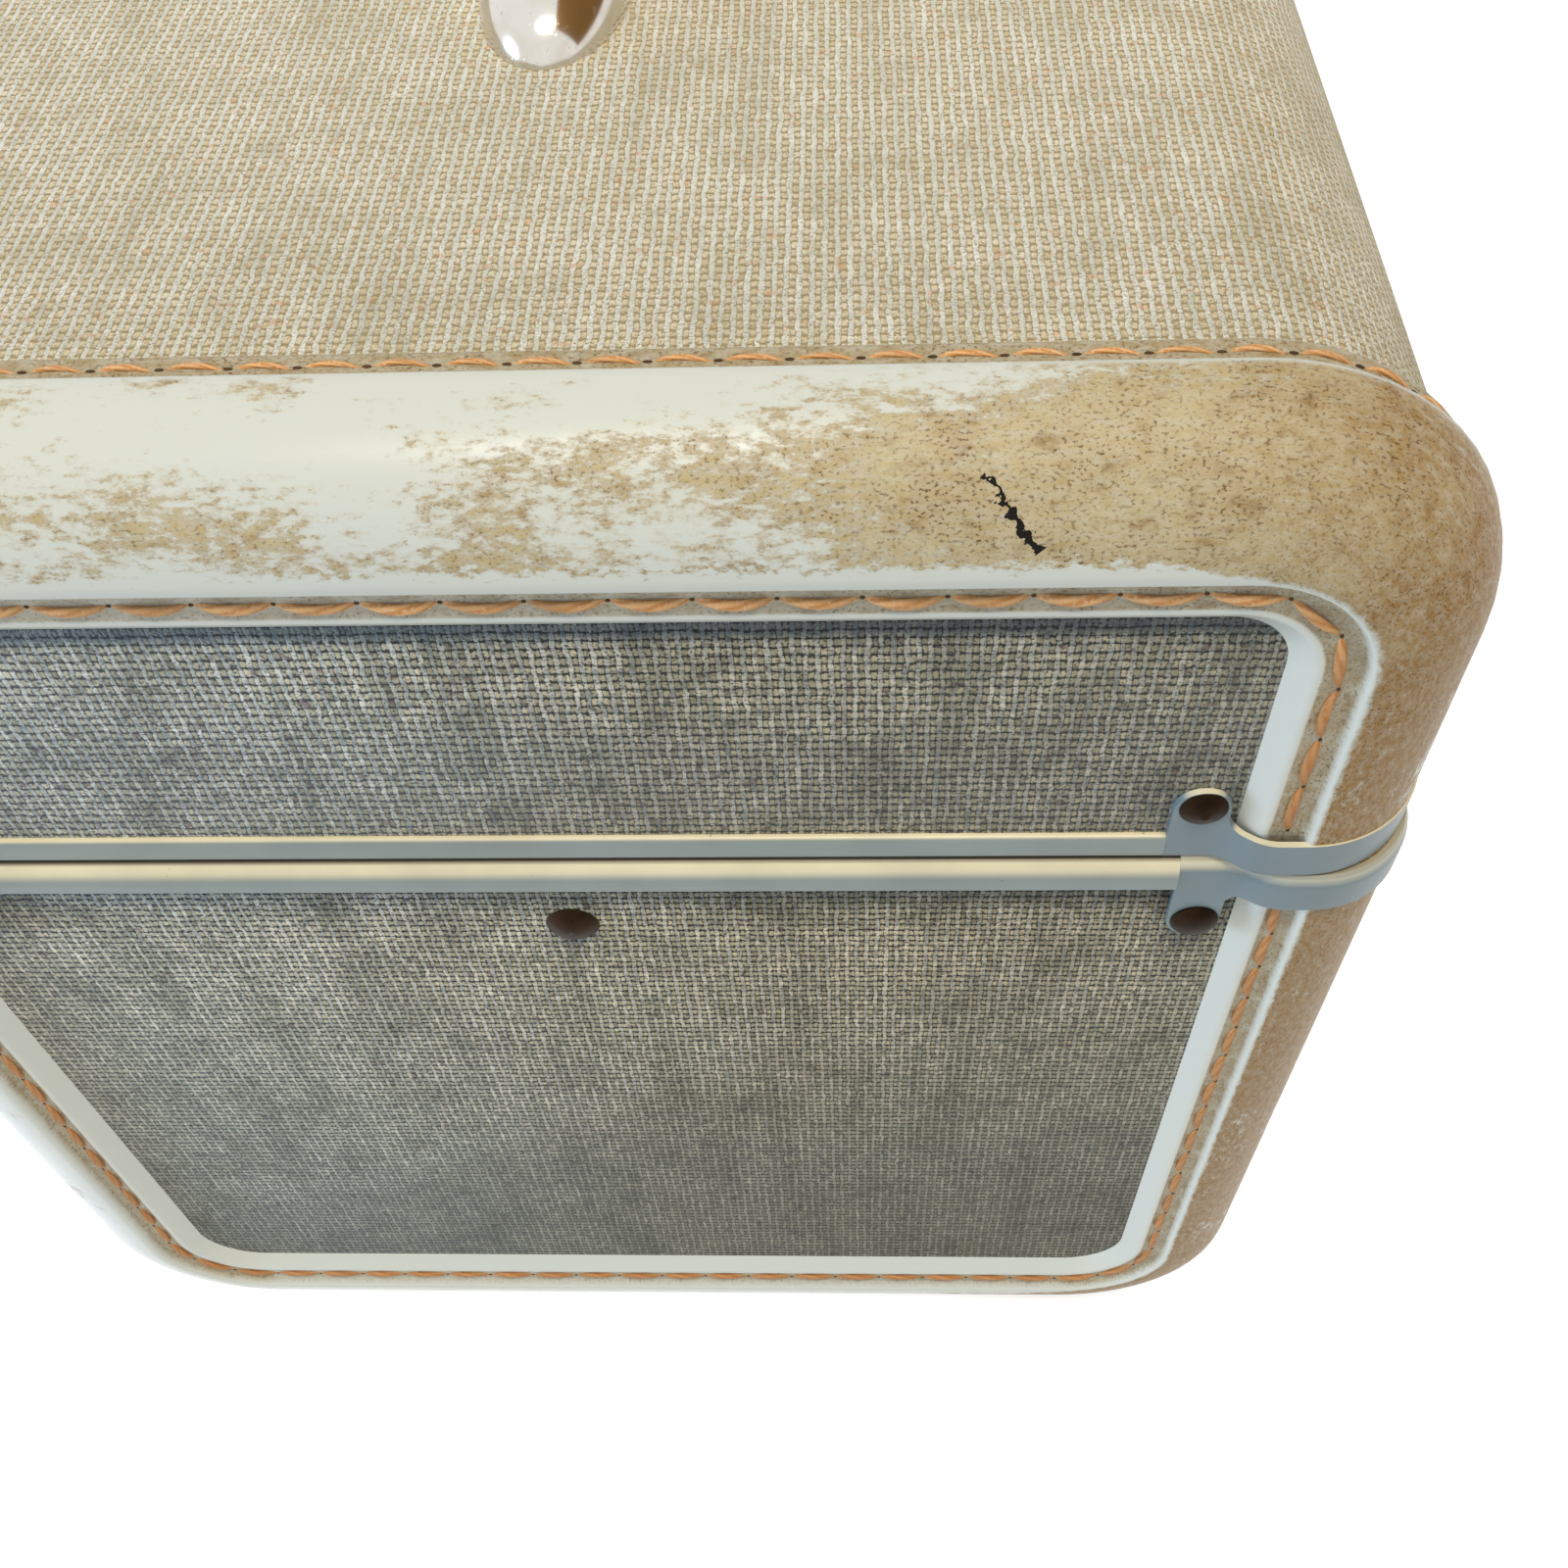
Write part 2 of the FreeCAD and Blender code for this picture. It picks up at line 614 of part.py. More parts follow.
def latch_case(centre_x):
    """A five-sided cover with ears, a slot on top for the tongue and one in front for the button."""
    bottom = LATCH_TOP_Z - LATCH_HEIGHT
    face = FRONT - LATCH_DEPTH
    wide = (centre_x - LATCH_HALF_WIDTH, centre_x + LATCH_HALF_WIDTH)
    cover = box(wide, (FRONT, face), (bottom, LATCH_TOP_Z))
    corners = [e for e in cover.Edges if abs(e.CenterOfMass.y - face) < 1e-6]
    cover = cover.makeFillet(LATCH_EDGE, corners)
    ear_mid = (bottom + LATCH_TOP_Z) / 2 - LATCH_EAR / 2
    ears = box((wide[0] - LATCH_EAR, wide[1] + LATCH_EAR), (FRONT, FRONT - LEAF_THICK),
               (ear_mid - LATCH_EAR_HEIGHT / 2, ear_mid + LATCH_EAR_HEIGHT / 2))
    room = box((wide[0] + LATCH_WALL, wide[1] - LATCH_WALL), (FRONT, face + LATCH_WALL),
               (bottom + LATCH_WALL, LATCH_TOP_Z - LATCH_WALL))
    slot_half = TONGUE_HALF_WIDTH + TONGUE_CLEAR
    tongue_slot = box((centre_x - slot_half, centre_x + slot_half),
                      (FRONT - TONGUE_OFFSET + TONGUE_CLEAR, face + LATCH_WALL),
                      (LATCH_TOP_Z - 2 * LATCH_WALL, ROOMY))
    stem = BUTTON_STEM + BUTTON_STEM_CLEAR
    stem_slot = box((centre_x - stem, centre_x + stem + BUTTON_TRAVEL), (face - 1, FRONT - 1),
                    (BUTTON_Z - stem, BUTTON_Z + stem))
    return cover.fuse(ears).cut([room, tongue_slot, stem_slot]).removeSplitter()


def latch_ear_seats():
    x = LATCH_HALF_WIDTH + LATCH_EAR / 2
    mid = LATCH_TOP_Z - LATCH_HEIGHT / 2 - LATCH_EAR / 2
    return [Vector(c + sx * x, FRONT - LEAF_THICK, mid + sz * LATCH_EAR_RIVET)
            for c in (-LATCH_X, LATCH_X) for sx in (-1, 1) for sz in (-1, 1)]


def latch_spring(centre_x):
    """A leaf spring that stands off the wall on its foot, with a hook in the tongue's window."""
    foot = LATCH_TOP_Z - LATCH_HEIGHT + LATCH_WALL + SPRING_FOOT_CLEAR
    wide = (centre_x - SPRING_HALF_WIDTH, centre_x + SPRING_HALF_WIDTH)
    hook_z = TONGUE_TIP_Z + SPRING_HOOK_UP
    back = FRONT - SPRING_STAND_OFF
    front = back - SPRING_THICK
    return joined([
        box(wide, (back, front), (foot, hook_z)),
        box(wide, (FRONT, front), (foot, foot + SPRING_FOOT)),
        box(wide, (back, FRONT - TONGUE_OFFSET - TONGUE_THICK / 2), (hook_z - SPRING_HOOK_THICK, hook_z)),
    ])


def latch_strike(centre_x):
    """A plate on the lid with a shelf and a windowed tongue that drops into the case."""
    shelf_low = SPLIT_Z + LEAF_START
    plate = box((centre_x - STRIKE_HALF_WIDTH, centre_x + STRIKE_HALF_WIDTH), (FRONT, FRONT - LEAF_THICK),
                (shelf_low, shelf_low + STRIKE_HEIGHT))
    upper = [e for e in plate.Edges if abs(e.Vertexes[0].Y - e.Vertexes[1].Y) > 0.5]
    plate = plate.makeFillet(STRIKE_CORNER, [e for e in upper if e.CenterOfMass.z > shelf_low + 1])
    wide = (centre_x - TONGUE_HALF_WIDTH, centre_x + TONGUE_HALF_WIDTH)
    tongue_y = (FRONT - TONGUE_OFFSET, FRONT - TONGUE_OFFSET - TONGUE_THICK)
    shelf = box(wide, (FRONT, tongue_y[1]), (shelf_low, shelf_low + TONGUE_THICK))
    tongue = box(wide, tongue_y, (TONGUE_TIP_Z, shelf_low + TONGUE_THICK))
    window_half = SPRING_HALF_WIDTH + WINDOW_SIDE
    window = box((centre_x - window_half, centre_x + window_half), (FRONT, FRONT - LATCH_DEPTH),
                 (TONGUE_TIP_Z + WINDOW_LOW, TONGUE_TIP_Z + WINDOW_HIGH))
    return joined([plate, shelf, tongue]).cut(window)


def strike_rivet_seats():
    z = SPLIT_Z + LEAF_START + STRIKE_HEIGHT * LEAF_RIVET_UP
    return [Vector(c + s * LEAF_RIVET_SPREAD, FRONT - LEAF_THICK, z)
            for c in (-LATCH_X, LATCH_X) for s in (-1, 1)]


def latch_thumb(centre_x):
    """The thumb piece in front of the case, with finger grooves across it."""
    outer = FRONT - BUTTON_REACH
    thumb = box((centre_x - BUTTON_HALF_WIDTH, centre_x + BUTTON_HALF_WIDTH),
                (FRONT - LATCH_DEPTH - BUTTON_LIFT, outer),
                (BUTTON_Z - BUTTON_HALF_HEIGHT, BUTTON_Z + BUTTON_HALF_HEIGHT))
    thumb = thumb.makeFillet(BUTTON_EDGE, [e for e in thumb.Edges if abs(e.CenterOfMass.y - outer) < 1e-6])
    first = centre_x - BUTTON_GROOVE_PITCH * (BUTTON_GROOVES - 1) / 2
    groove_z = (BUTTON_Z - BUTTON_GROOVE_HALF, BUTTON_Z + BUTTON_GROOVE_HALF)
    for count in range(BUTTON_GROOVES):
        x = first + count * BUTTON_GROOVE_PITCH
        groove_x = (x - BUTTON_GROOVE / 2, x + BUTTON_GROOVE / 2)
        thumb = thumb.cut(box(groove_x, (outer - 1, outer + BUTTON_GROOVE_DEEP), groove_z))
    return thumb


def latch_button(centre_x):
    """The thumb piece, its stem, and a keeper inside whose ramp presses the leaf spring to the wall."""
    face = FRONT - LATCH_DEPTH
    keeper_front = face + LATCH_WALL + KEEPER_CLEAR
    keeper_back = keeper_front + KEEPER_THICK
    keeper_z = (BUTTON_Z - KEEPER_HALF_HEIGHT, BUTTON_Z + KEEPER_HALF_HEIGHT)
    stem = box((centre_x - BUTTON_STEM, centre_x + BUTTON_STEM), (face - BUTTON_LIFT, keeper_back),
               (BUTTON_Z - BUTTON_STEM, BUTTON_Z + BUTTON_STEM))
    keeper = box((centre_x - RAMP_END, centre_x + KEEPER_HALF_WIDTH), (keeper_front, keeper_back), keeper_z)
    crest = FRONT - RAMP_WALL_GAP
    ramp = closed_face(
        [(RAMP_START, keeper_back), (RAMP_CREST, crest), (RAMP_END, crest), (RAMP_END, keeper_back)],
        lambda along, y: Vector(centre_x - along, y, keeper_z[0]))
    ramp = ramp.extrude(Vector(0, 0, 2 * KEEPER_HALF_HEIGHT))
    return joined([latch_thumb(centre_x), stem, keeper, ramp])


HANDLE_AXIS_Z = TOP_Z + HANDLE_AXIS_RISE
GRIP_REST_RISE = GRIP_RADIUS + GRIP_REST_CLEAR - HANDLE_AXIS_RISE
HANDLE_REST_DEG = 90 - math.degrees(math.asin(GRIP_REST_RISE / HANDLE_REACH))


def nose_outline():
    """Half of a mount's plan: straight from its inner end, then a quarter ellipse round to the nose."""
    width = MOUNT_HALF_WIDTH
    centre = Vector(MOUNT_INNER_X + MOUNT_LENGTH - MOUNT_NOSE, 0, 0)
    quarter = Part.ArcOfEllipse(Part.Ellipse(centre, MOUNT_NOSE, width), 0, math.pi / 2).toShape()
    start = Vector(MOUNT_INNER_X, 0, 0)
    return Part.Face(Part.Wire(Part.__sortEdges__([
        Part.LineSegment(start, centre + Vector(MOUNT_NOSE, 0, 0)).toShape(),
        quarter,
        Part.LineSegment(centre + Vector(0, width, 0), start + Vector(0, width, 0)).toShape(),
        Part.LineSegment(start + Vector(0, width, 0), start).toShape(),
    ])))


def handle_mount(end):
    """A bullet-nosed dome on the cloth, a little lower than wide, bored for the handle's pin."""
    whole = nose_outline().revolve(Vector(0, 0, 0), Vector(1, 0, 0), 360)
    whole = whole.translated(Vector(0, 0, TOP_Z + MOUNT_HEIGHT - MOUNT_HALF_WIDTH))
    dome = whole.common(box((0, ROOMY), (-ROOMY, ROOMY), (TOP_Z, ROOMY)))
    bore = rod(HANDLE_PIN + HANDLE_RUNNING, Vector(MOUNT_INNER_X - 1, 0, HANDLE_AXIS_Z),
               Vector(MOUNT_INNER_X + HANDLE_BORE_DEPTH, 0, HANDLE_AXIS_Z))
    mount = dome.cut(bore)
    return mount if end > 0 else mount.mirror(Vector(0, 0, 0), Vector(1, 0, 0))


def mount_screw_seats():
    return [Vector(end * (MOUNT_INNER_X + along), 0, TOP_Z)
            for end in ENDS.values() for along in MOUNT_SCREWS_ALONG]


def mount_nut(seat):
    """A screw end with its washer and hexagon nut under the lid."""
    under_lining = seat - Vector(0, 0, WALL + LINING)
    under_washer = under_lining - Vector(0, 0, WASHER_THICK)
    tail = under_washer - Vector(0, 0, NUT_THICK + SCREW_TAIL)
    corners = [math.radians(60 * count) for count in range(7)]
    hexagon = Part.makePolygon([
        under_washer + Vector(NUT_RADIUS * math.cos(a), NUT_RADIUS * math.sin(a), 0) for a in corners])
    return joined([
        rod(SCREW_RADIUS, seat, tail),
        rod(WASHER_RADIUS, under_lining, under_washer),
        Part.Face(hexagon).extrude(Vector(0, 0, -NUT_THICK)),
    ])


def lie_down(shape):
    """Swing an upright handle part over to where it rests on the front of the lid."""
    shape.rotate(Vector(0, 0, HANDLE_AXIS_Z), Vector(1, 0, 0), HANDLE_REST_DEG)
    return shape


GRIP_END_X = HANDLE_LEG_X - HANDLE_BEND


def handle_leg(end):
    """A pivot boss with its pin, and a round bar that rises and bends over into the grip."""
    top = HANDLE_AXIS_Z + HANDLE_REACH
    bend_z = top - HANDLE_BEND
    slant = HANDLE_BEND * (1 - math.sqrt(0.5))
    tenon_x = GRIP_END_X - HANDLE_TENON
    foot, shoulder = Vector(HANDLE_LEG_X, 0, HANDLE_AXIS_Z), Vector(HANDLE_LEG_X, 0, bend_z)
    crown, tip = Vector(GRIP_END_X, 0, top), Vector(tenon_x, 0, top)
    path = Part.Wire([
        Part.LineSegment(foot, shoulder).toShape(),
        Part.Arc(shoulder, Vector(HANDLE_LEG_X - slant, 0, top - slant), crown).toShape(),
        Part.LineSegment(crown, tip).toShape(),
    ])
    section = Part.Wire(Part.makeCircle(HANDLE_LEG, foot, Vector(0, 0, 1)))
    bar = path.makePipeShell([section], True, False)
    boss_half = Vector(HANDLE_BOSS_HALF, 0, 0)
    boss = rod(HANDLE_BOSS, foot - boss_half, foot + boss_half)
    pin = rod(HANDLE_PIN, foot, Vector(MOUNT_INNER_X + HANDLE_PIN_DEPTH, 0, HANDLE_AXIS_Z))
    leg = joined([bar, boss, pin])
    leg = leg if end > 0 else leg.mirror(Vector(0, 0, 0), Vector(1, 0, 0))
    return lie_down(leg)


def handle_grip():
    """A barrel-shaped grip, bored at each end for the legs."""
    z = HANDLE_AXIS_Z + HANDLE_REACH
    outline = [(-GRIP_END_X, 0), (-GRIP_END_X, GRIP_END_RADIUS),
               ((0, GRIP_RADIUS), (GRIP_END_X, GRIP_END_RADIUS)), (GRIP_END_X, 0)]
    face = closed_face(outline, lambda x, r: Vector(x, 0, z + r))
    grip = face.revolve(Vector(0, 0, z), Vector(1, 0, 0), 360)
    for end in ENDS.values():
        grip = grip.cut(rod(HANDLE_LEG, Vector(end * (GRIP_END_X - HANDLE_TENON), 0, z),
                            Vector(end * (GRIP_END_X + 1), 0, z)))
    return lie_down(grip)


def glide_foot(x, y):
    foot = Part.makeCylinder(FOOT_RADIUS, FOOT_HEIGHT, Vector(x, y, 0))
    return foot.makeFillet(FOOT_EDGE, [e for e in foot.Edges if e.CenterOfMass.z < 0.1 and e.Closed])


def group(shapes):
    """Identical pieces that share one node, kept as separate solids."""
    return Part.makeCompound(shapes)


def build_half(half, shanks):
    """The boards, cloths, lining, bindings, end bands and clips of the lid or the body."""
    name = half.name
    nodes = {
        f"{name}_wrap_board": without(wrap_board(half), shanks),
        f"{name}_wrap_cloth": without(wrap_cloth(half), shanks),
        f"{name}_lining": without(lining(half), shanks),
    }
    end_cloths, end_bands = [], []
    for word, end in ENDS.items():
        nodes[f"{name}_end_board_{word}"] = without(end_sheet(half, end, CLOTH, WALL), shanks)
        nodes[f"{name}_binding_{word}"] = binding(half, end)
        clips = [without(clip(half, end, side), shanks) for side in SIDES.values()]
        nodes[f"{name}_clips_{word}"] = group(clips)
        end_cloths.append(without(end_sheet(half, end, 0, CLOTH), shanks))
        end_bands.append(end_band(half, end))
    nodes[f"{name}_end_cloths"] = group(end_cloths)
    nodes[f"{name}_end_bands"] = group(end_bands)
    return nodes


def main():
    hinge_gaps = [(x, HINGE_WIDTH / 2 + HINGE_BAND_CLEAR) for x in (-HINGE_X, HINGE_X)]
    latch_gaps = [(x, LATCH_HALF_WIDTH + LATCH_BAND_CLEAR) for x in (-LATCH_X, LATCH_X)]
    through = LEAF_THICK + WALL
    back, front = Vector(0, 1, 0), Vector(0, -1, 0)

    lid_clip_rivets, lid_shanks = clip_rivets(LID)
    body_clip_rivets, body_shanks = clip_rivets(BODY)
    hinge_lid_rivets, hinge_lid_shanks = row_of_rivets(hinge_rivet_seats(LID), back, through)
    hinge_body_rivets, hinge_body_shanks = row_of_rivets(hinge_rivet_seats(BODY), back, through)
    strike_rivets, strike_shanks = row_of_rivets(strike_rivet_seats(), front, through)
    case_rivets, case_shanks = row_of_rivets(latch_ear_seats(), front, through)
    nuts = [mount_nut(seat) for seat in mount_screw_seats()]
    pivots, studs = [], {}
    for word, end in ENDS.items():
        on_clip = stay_pivot_place(end) + Vector(end * LID_CLIP_THICK, 0, 0)
        pivots.append(shouldered_stud(on_clip, end, CLIP_RIVET_HEAD, CLIP_RIVET_RISE))
        studs[f"stay_stud_{word}"] = shouldered_stud(stay_stud_place(end), end, STUD_HEAD, STUD_RISE)

    lid_holes = lid_shanks + hinge_lid_shanks + strike_shanks + nuts + pivots
    body_holes = body_shanks + hinge_body_shanks + case_shanks + list(studs.values())
    nodes = build_half(LID, lid_holes)
    nodes.update(build_half(BODY, body_holes))
    nodes.update(studs)
    nodes["lid_band_front"] = side_band(LID, -1, [])
    nodes["lid_band_back"] = side_band(LID, 1, [])
    nodes["body_band_front"] = side_band(BODY, -1, latch_gaps)
    nodes["body_band_back"] = side_band(BODY, 1, hinge_gaps)
    nodes["lid_clip_rivets"] = group(lid_clip_rivets)
    nodes["body_clip_rivets"] = group(body_clip_rivets)
    nodes["stay_pivots"] = group(pivots)
    nodes["hinge_lid_rivets"] = group(hinge_lid_rivets)
    nodes["hinge_body_rivets"] = group(hinge_body_rivets)
    nodes["strike_rivets"] = group(strike_rivets)
    nodes["latch_case_rivets"] = group(case_rivets)
    nodes["handle_mount_nuts"] = group(nuts)
    nodes["glide_feet"] = group([glide_foot(x, y) for x in (-FOOT_X, FOOT_X) for y in (-FOOT_Y, FOOT_Y)])
    nodes["handle_grip"] = handle_grip()
    for word, end in ENDS.items():
        nodes[f"hinge_lid_leaf_{word}"] = without(hinge_leaf(LID, end * HINGE_X), hinge_lid_shanks)
        nodes[f"hinge_body_leaf_{word}"] = without(hinge_leaf(BODY, end * HINGE_X), hinge_body_shanks)
        nodes[f"hinge_pin_{word}"] = hinge_pin(end * HINGE_X)
        nodes[f"stay_arm_{word}"] = stay_arm(end)
        nodes[f"latch_case_{word}"] = without(latch_case(end * LATCH_X), case_shanks)
        nodes[f"latch_spring_{word}"] = latch_spring(end * LATCH_X)
        nodes[f"latch_strike_{word}"] = without(latch_strike(end * LATCH_X), strike_shanks)
        nodes[f"latch_button_{word}"] = latch_button(end * LATCH_X)
        nodes[f"handle_mount_{word}"] = without(handle_mount(end), nuts)
        nodes[f"handle_leg_{word}"] = handle_leg(end)

    os.makedirs("parts", exist_ok=True)
    for name, shape in nodes.items():
        shape.exportStep(f"parts/{name}.step")
        state = "valid" if shape.isValid() else "NOT VALID"
        print(f"{name:26s} {len(shape.Solids)} solids, {state}, {shape.Volume / 1000:.2f} cm3")
    print(len(nodes), "nodes; handle rests", round(90 - HANDLE_REST_DEG, 2), "degrees above level")


main()
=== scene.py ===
# %% [markdown]
# # A train case in tweed and stitched vinyl
#
# The object is a hard-sided train case: a board box under woven cloth, with a moulded vinyl binding sewn
# round each end, painted closure bands, riveted corner clips and bright metal fittings. The solid model
# already has every piece at its real size and place. This lesson loads that model as a fixed frame and
# gives each piece the surface that the eye expects: rounded mouldings, real stitches, bent sheet metal,
# woven cloth, dirt and wear.

# %% Load the frame
import json
import math
import random
from functools import partial

import bmesh
import bpy
from mathutils import Matrix, Vector


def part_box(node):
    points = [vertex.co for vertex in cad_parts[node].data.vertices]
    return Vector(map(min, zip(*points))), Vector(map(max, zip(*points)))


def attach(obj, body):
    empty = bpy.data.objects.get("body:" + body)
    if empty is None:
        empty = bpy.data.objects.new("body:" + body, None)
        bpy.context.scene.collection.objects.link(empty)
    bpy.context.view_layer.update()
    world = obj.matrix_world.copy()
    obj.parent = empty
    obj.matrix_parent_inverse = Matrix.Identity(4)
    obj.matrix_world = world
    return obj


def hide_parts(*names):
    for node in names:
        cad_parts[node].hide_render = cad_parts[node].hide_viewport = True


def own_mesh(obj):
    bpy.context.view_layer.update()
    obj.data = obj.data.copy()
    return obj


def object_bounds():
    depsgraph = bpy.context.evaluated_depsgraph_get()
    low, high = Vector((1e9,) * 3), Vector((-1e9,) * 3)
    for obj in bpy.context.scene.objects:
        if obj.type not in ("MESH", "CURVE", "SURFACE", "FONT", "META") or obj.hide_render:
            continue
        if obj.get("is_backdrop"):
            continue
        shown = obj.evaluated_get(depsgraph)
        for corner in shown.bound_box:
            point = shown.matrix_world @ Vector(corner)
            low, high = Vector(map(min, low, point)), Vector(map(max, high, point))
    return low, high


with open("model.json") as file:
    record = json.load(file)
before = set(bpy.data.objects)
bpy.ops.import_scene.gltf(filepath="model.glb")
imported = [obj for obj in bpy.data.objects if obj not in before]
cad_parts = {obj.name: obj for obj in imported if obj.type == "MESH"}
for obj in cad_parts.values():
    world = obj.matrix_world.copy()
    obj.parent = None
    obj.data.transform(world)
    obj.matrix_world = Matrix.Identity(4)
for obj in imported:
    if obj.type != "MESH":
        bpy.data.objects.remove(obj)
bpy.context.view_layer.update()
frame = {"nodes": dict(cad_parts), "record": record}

record = frame["record"]
slot_of = {row["node"]: row["material_slot"] for row in record["subparts"]}
carrier_of = {node: body for body, names in record["behaviour"]["bodies"].items() for node in names}

# %% [markdown]
# ## Sizes
#
# A mesh that stands for a solid has to fit it, so most sizes are read from the frame's boxes. The few that
# a box can't tell, such as how far a flange reaches, are real sizes in millimetres. The lid and the body
# are built the same way, one facing up and one facing down, so one small class holds what differs between
# them.

# %% The two halves
MM = 0.001
END_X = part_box("lid_end_cloths")[1].x
HALF_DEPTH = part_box("lid_wrap_cloth")[1].y
ROLL_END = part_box("lid_binding_right")[1].x - END_X
ROLL_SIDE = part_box("lid_binding_right")[1].y - HALF_DEPTH
CORNER = 26 * MM
WALL = 4.6 * MM
CLOTH = 0.6 * MM
EDGE_COVER = 0.5 * MM
FLANGE_REACH = 6.5 * MM
ENDS = {"left": -1, "right": 1}
SIDES = {"front": -1, "back": 1}


class Half:
    """The lid or the body: way is +1 where it faces up, u runs out of the end and v out of the wrap."""

    def __init__(self, name, body, way, rim, strap, tab, tab_outer, clip_lift):
        low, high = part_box(f"{name}_wrap_cloth")
        self.name, self.body, self.way, self.rim = name, body, way, rim
        self.strap, self.tab, self.tab_outer, self.clip_lift = strap, tab, tab_outer, clip_lift
        self.cap, self.mouth = (high.z, low.z) if way > 0 else (low.z, high.z)
        self.edge = HALF_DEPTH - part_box(f"{name}_end_cloths")[1].y
        self.ridge = self.edge + EDGE_COVER
        self.roll = self.ridge + ROLL_SIDE
        self.roll_u = ROLL_END - self.roll
        self.toe_u = self.roll_u - FLANGE_REACH
        self.straight = abs(self.cap - self.mouth) - CORNER
        self.turn_y = HALF_DEPTH - CORNER
        self.turn_z = self.cap - way * CORNER


LID = Half("lid", "lid", way=1, rim=19.3 * MM, strap=5.6 * MM, tab=12.0 * MM, tab_outer=20.3 * MM,
           clip_lift=0.0)
BODY = Half("body", "case_body", way=-1, rim=16.4 * MM, strap=6.0 * MM, tab=15.2 * MM, tab_outer=18.0 * MM,
            clip_lift=0.8 * MM)
for half in (LID, BODY):
    print(half.name, "ridge", round(half.ridge / MM, 2), "mm, roll radius", round(half.roll / MM, 2), "mm")

# %% [markdown]
# ## Colours and nodes
#
# Colours are given as sRGB hex values, but a shader works in linear light, so one function converts
# them. A second adds any node with its settings and links, which keeps each material short. What feeds a
# socket may be a number, a hex colour, a socket, or a whole node, whose first live output is then meant.

# %% Colour and node helpers
def linear(hex_colour):
    """An sRGB hex colour as the linear RGBA that a shader socket takes."""
    values = [int(hex_colour[i:i + 2], 16) / 255 for i in (1, 3, 5)]
    return [v / 12.92 if v <= 0.04045 else ((v + 0.055) / 1.055) ** 2.4 for v in values] + [1.0]


def feed(node, inputs):
    """Set a node's sockets, listed in order or by name, to values, or link them to what feeds them."""
    for key, value in inputs.items() if isinstance(inputs, dict) else enumerate(inputs):
        if isinstance(value, bpy.types.Node):
            value = next(out for out in value.outputs if out.enabled)
        if isinstance(value, bpy.types.NodeSocket):
            node.id_data.links.new(value, node.inputs[key])
        else:
            node.inputs[key].default_value = linear(value) if isinstance(value, str) else value


def add_node(tree, kind, inputs=(), **settings):
    """One node: its kind, with its operation if it has one, what feeds its sockets, and its settings."""
    kind, _, operation = kind.partition(" ")
    made = tree.nodes.new("ShaderNode" + kind)
    if operation:
        made.operation = operation
    for name, value in settings.items():
        setattr(made, name, value)
    feed(made, inputs)
    return made


def start_material(name, roughness, metallic=0.0):
    """A material, the function that adds nodes to it, and its shader with its constant values."""
    material = bpy.data.materials.new(name)
    material.use_nodes = True
    shader = material.node_tree.nodes["Principled BSDF"]
    feed(shader, {"Roughness": roughness, "Metallic": metallic})
    return material, partial(add_node, material.node_tree), shader


# %% [markdown]
# ## Tweed cloth
#
# The covering is a ribbed plain weave, 20 ribs to the inch: pale warp cords with the cream or tan weft
# showing between them, and a dark hole wherever two weft threads part. A picture of cloth would blur up
# close, so the weave is worked out from the thread count instead. The piece's own map gives the distance
# along the cloth, that distance divided by the thread pitch counts threads, and the place inside one count
# says what lies on top.

# %% Woven tweed
THREAD = 1.27 * MM
# A single fibre is too fine to show, so the fuzz is drawn in tufts of this width.
FIBRE = 0.36 * MM
WOBBLE = 2.5 * MM
FLECK = 1.8 * MM
FADED_PATCH = 11 * MM
STREAK = 6 * MM
WEAVE_RELIEF = 0.3 * MM
LOW_SHADE_FROM, LOW_SHADE_TO = 150 * MM, 10 * MM


def weave_height(add, cloth, crowns, weft_up, rib_break):
    """How high the cloth stands: warp ribs, weft dashes between them, and the fuzz of single fibres."""
    nick = add("MapRange", [crowns[1], 0.0, 1.0, 1.0 - rib_break, 1.0])
    rib = add("Math MULTIPLY", [crowns[0], nick])
    dash = add("Math POWER", [crowns[1], 1.6])
    between = add("Math MULTIPLY", [crowns[0], dash])
    height = add("Mix", {0: weft_up, 2: rib, 3: between})
    fibre = add("TexNoise", {"Vector": cloth, "Scale": 1 / FIBRE, "Detail": 2.0}, noise_dimensions="2D")
    hairy = add("MapRange", [fibre, 0.25, 0.75, 0.1, 1.6], clamp=False)
    return add("Math MULTIPLY", [height, hairy])


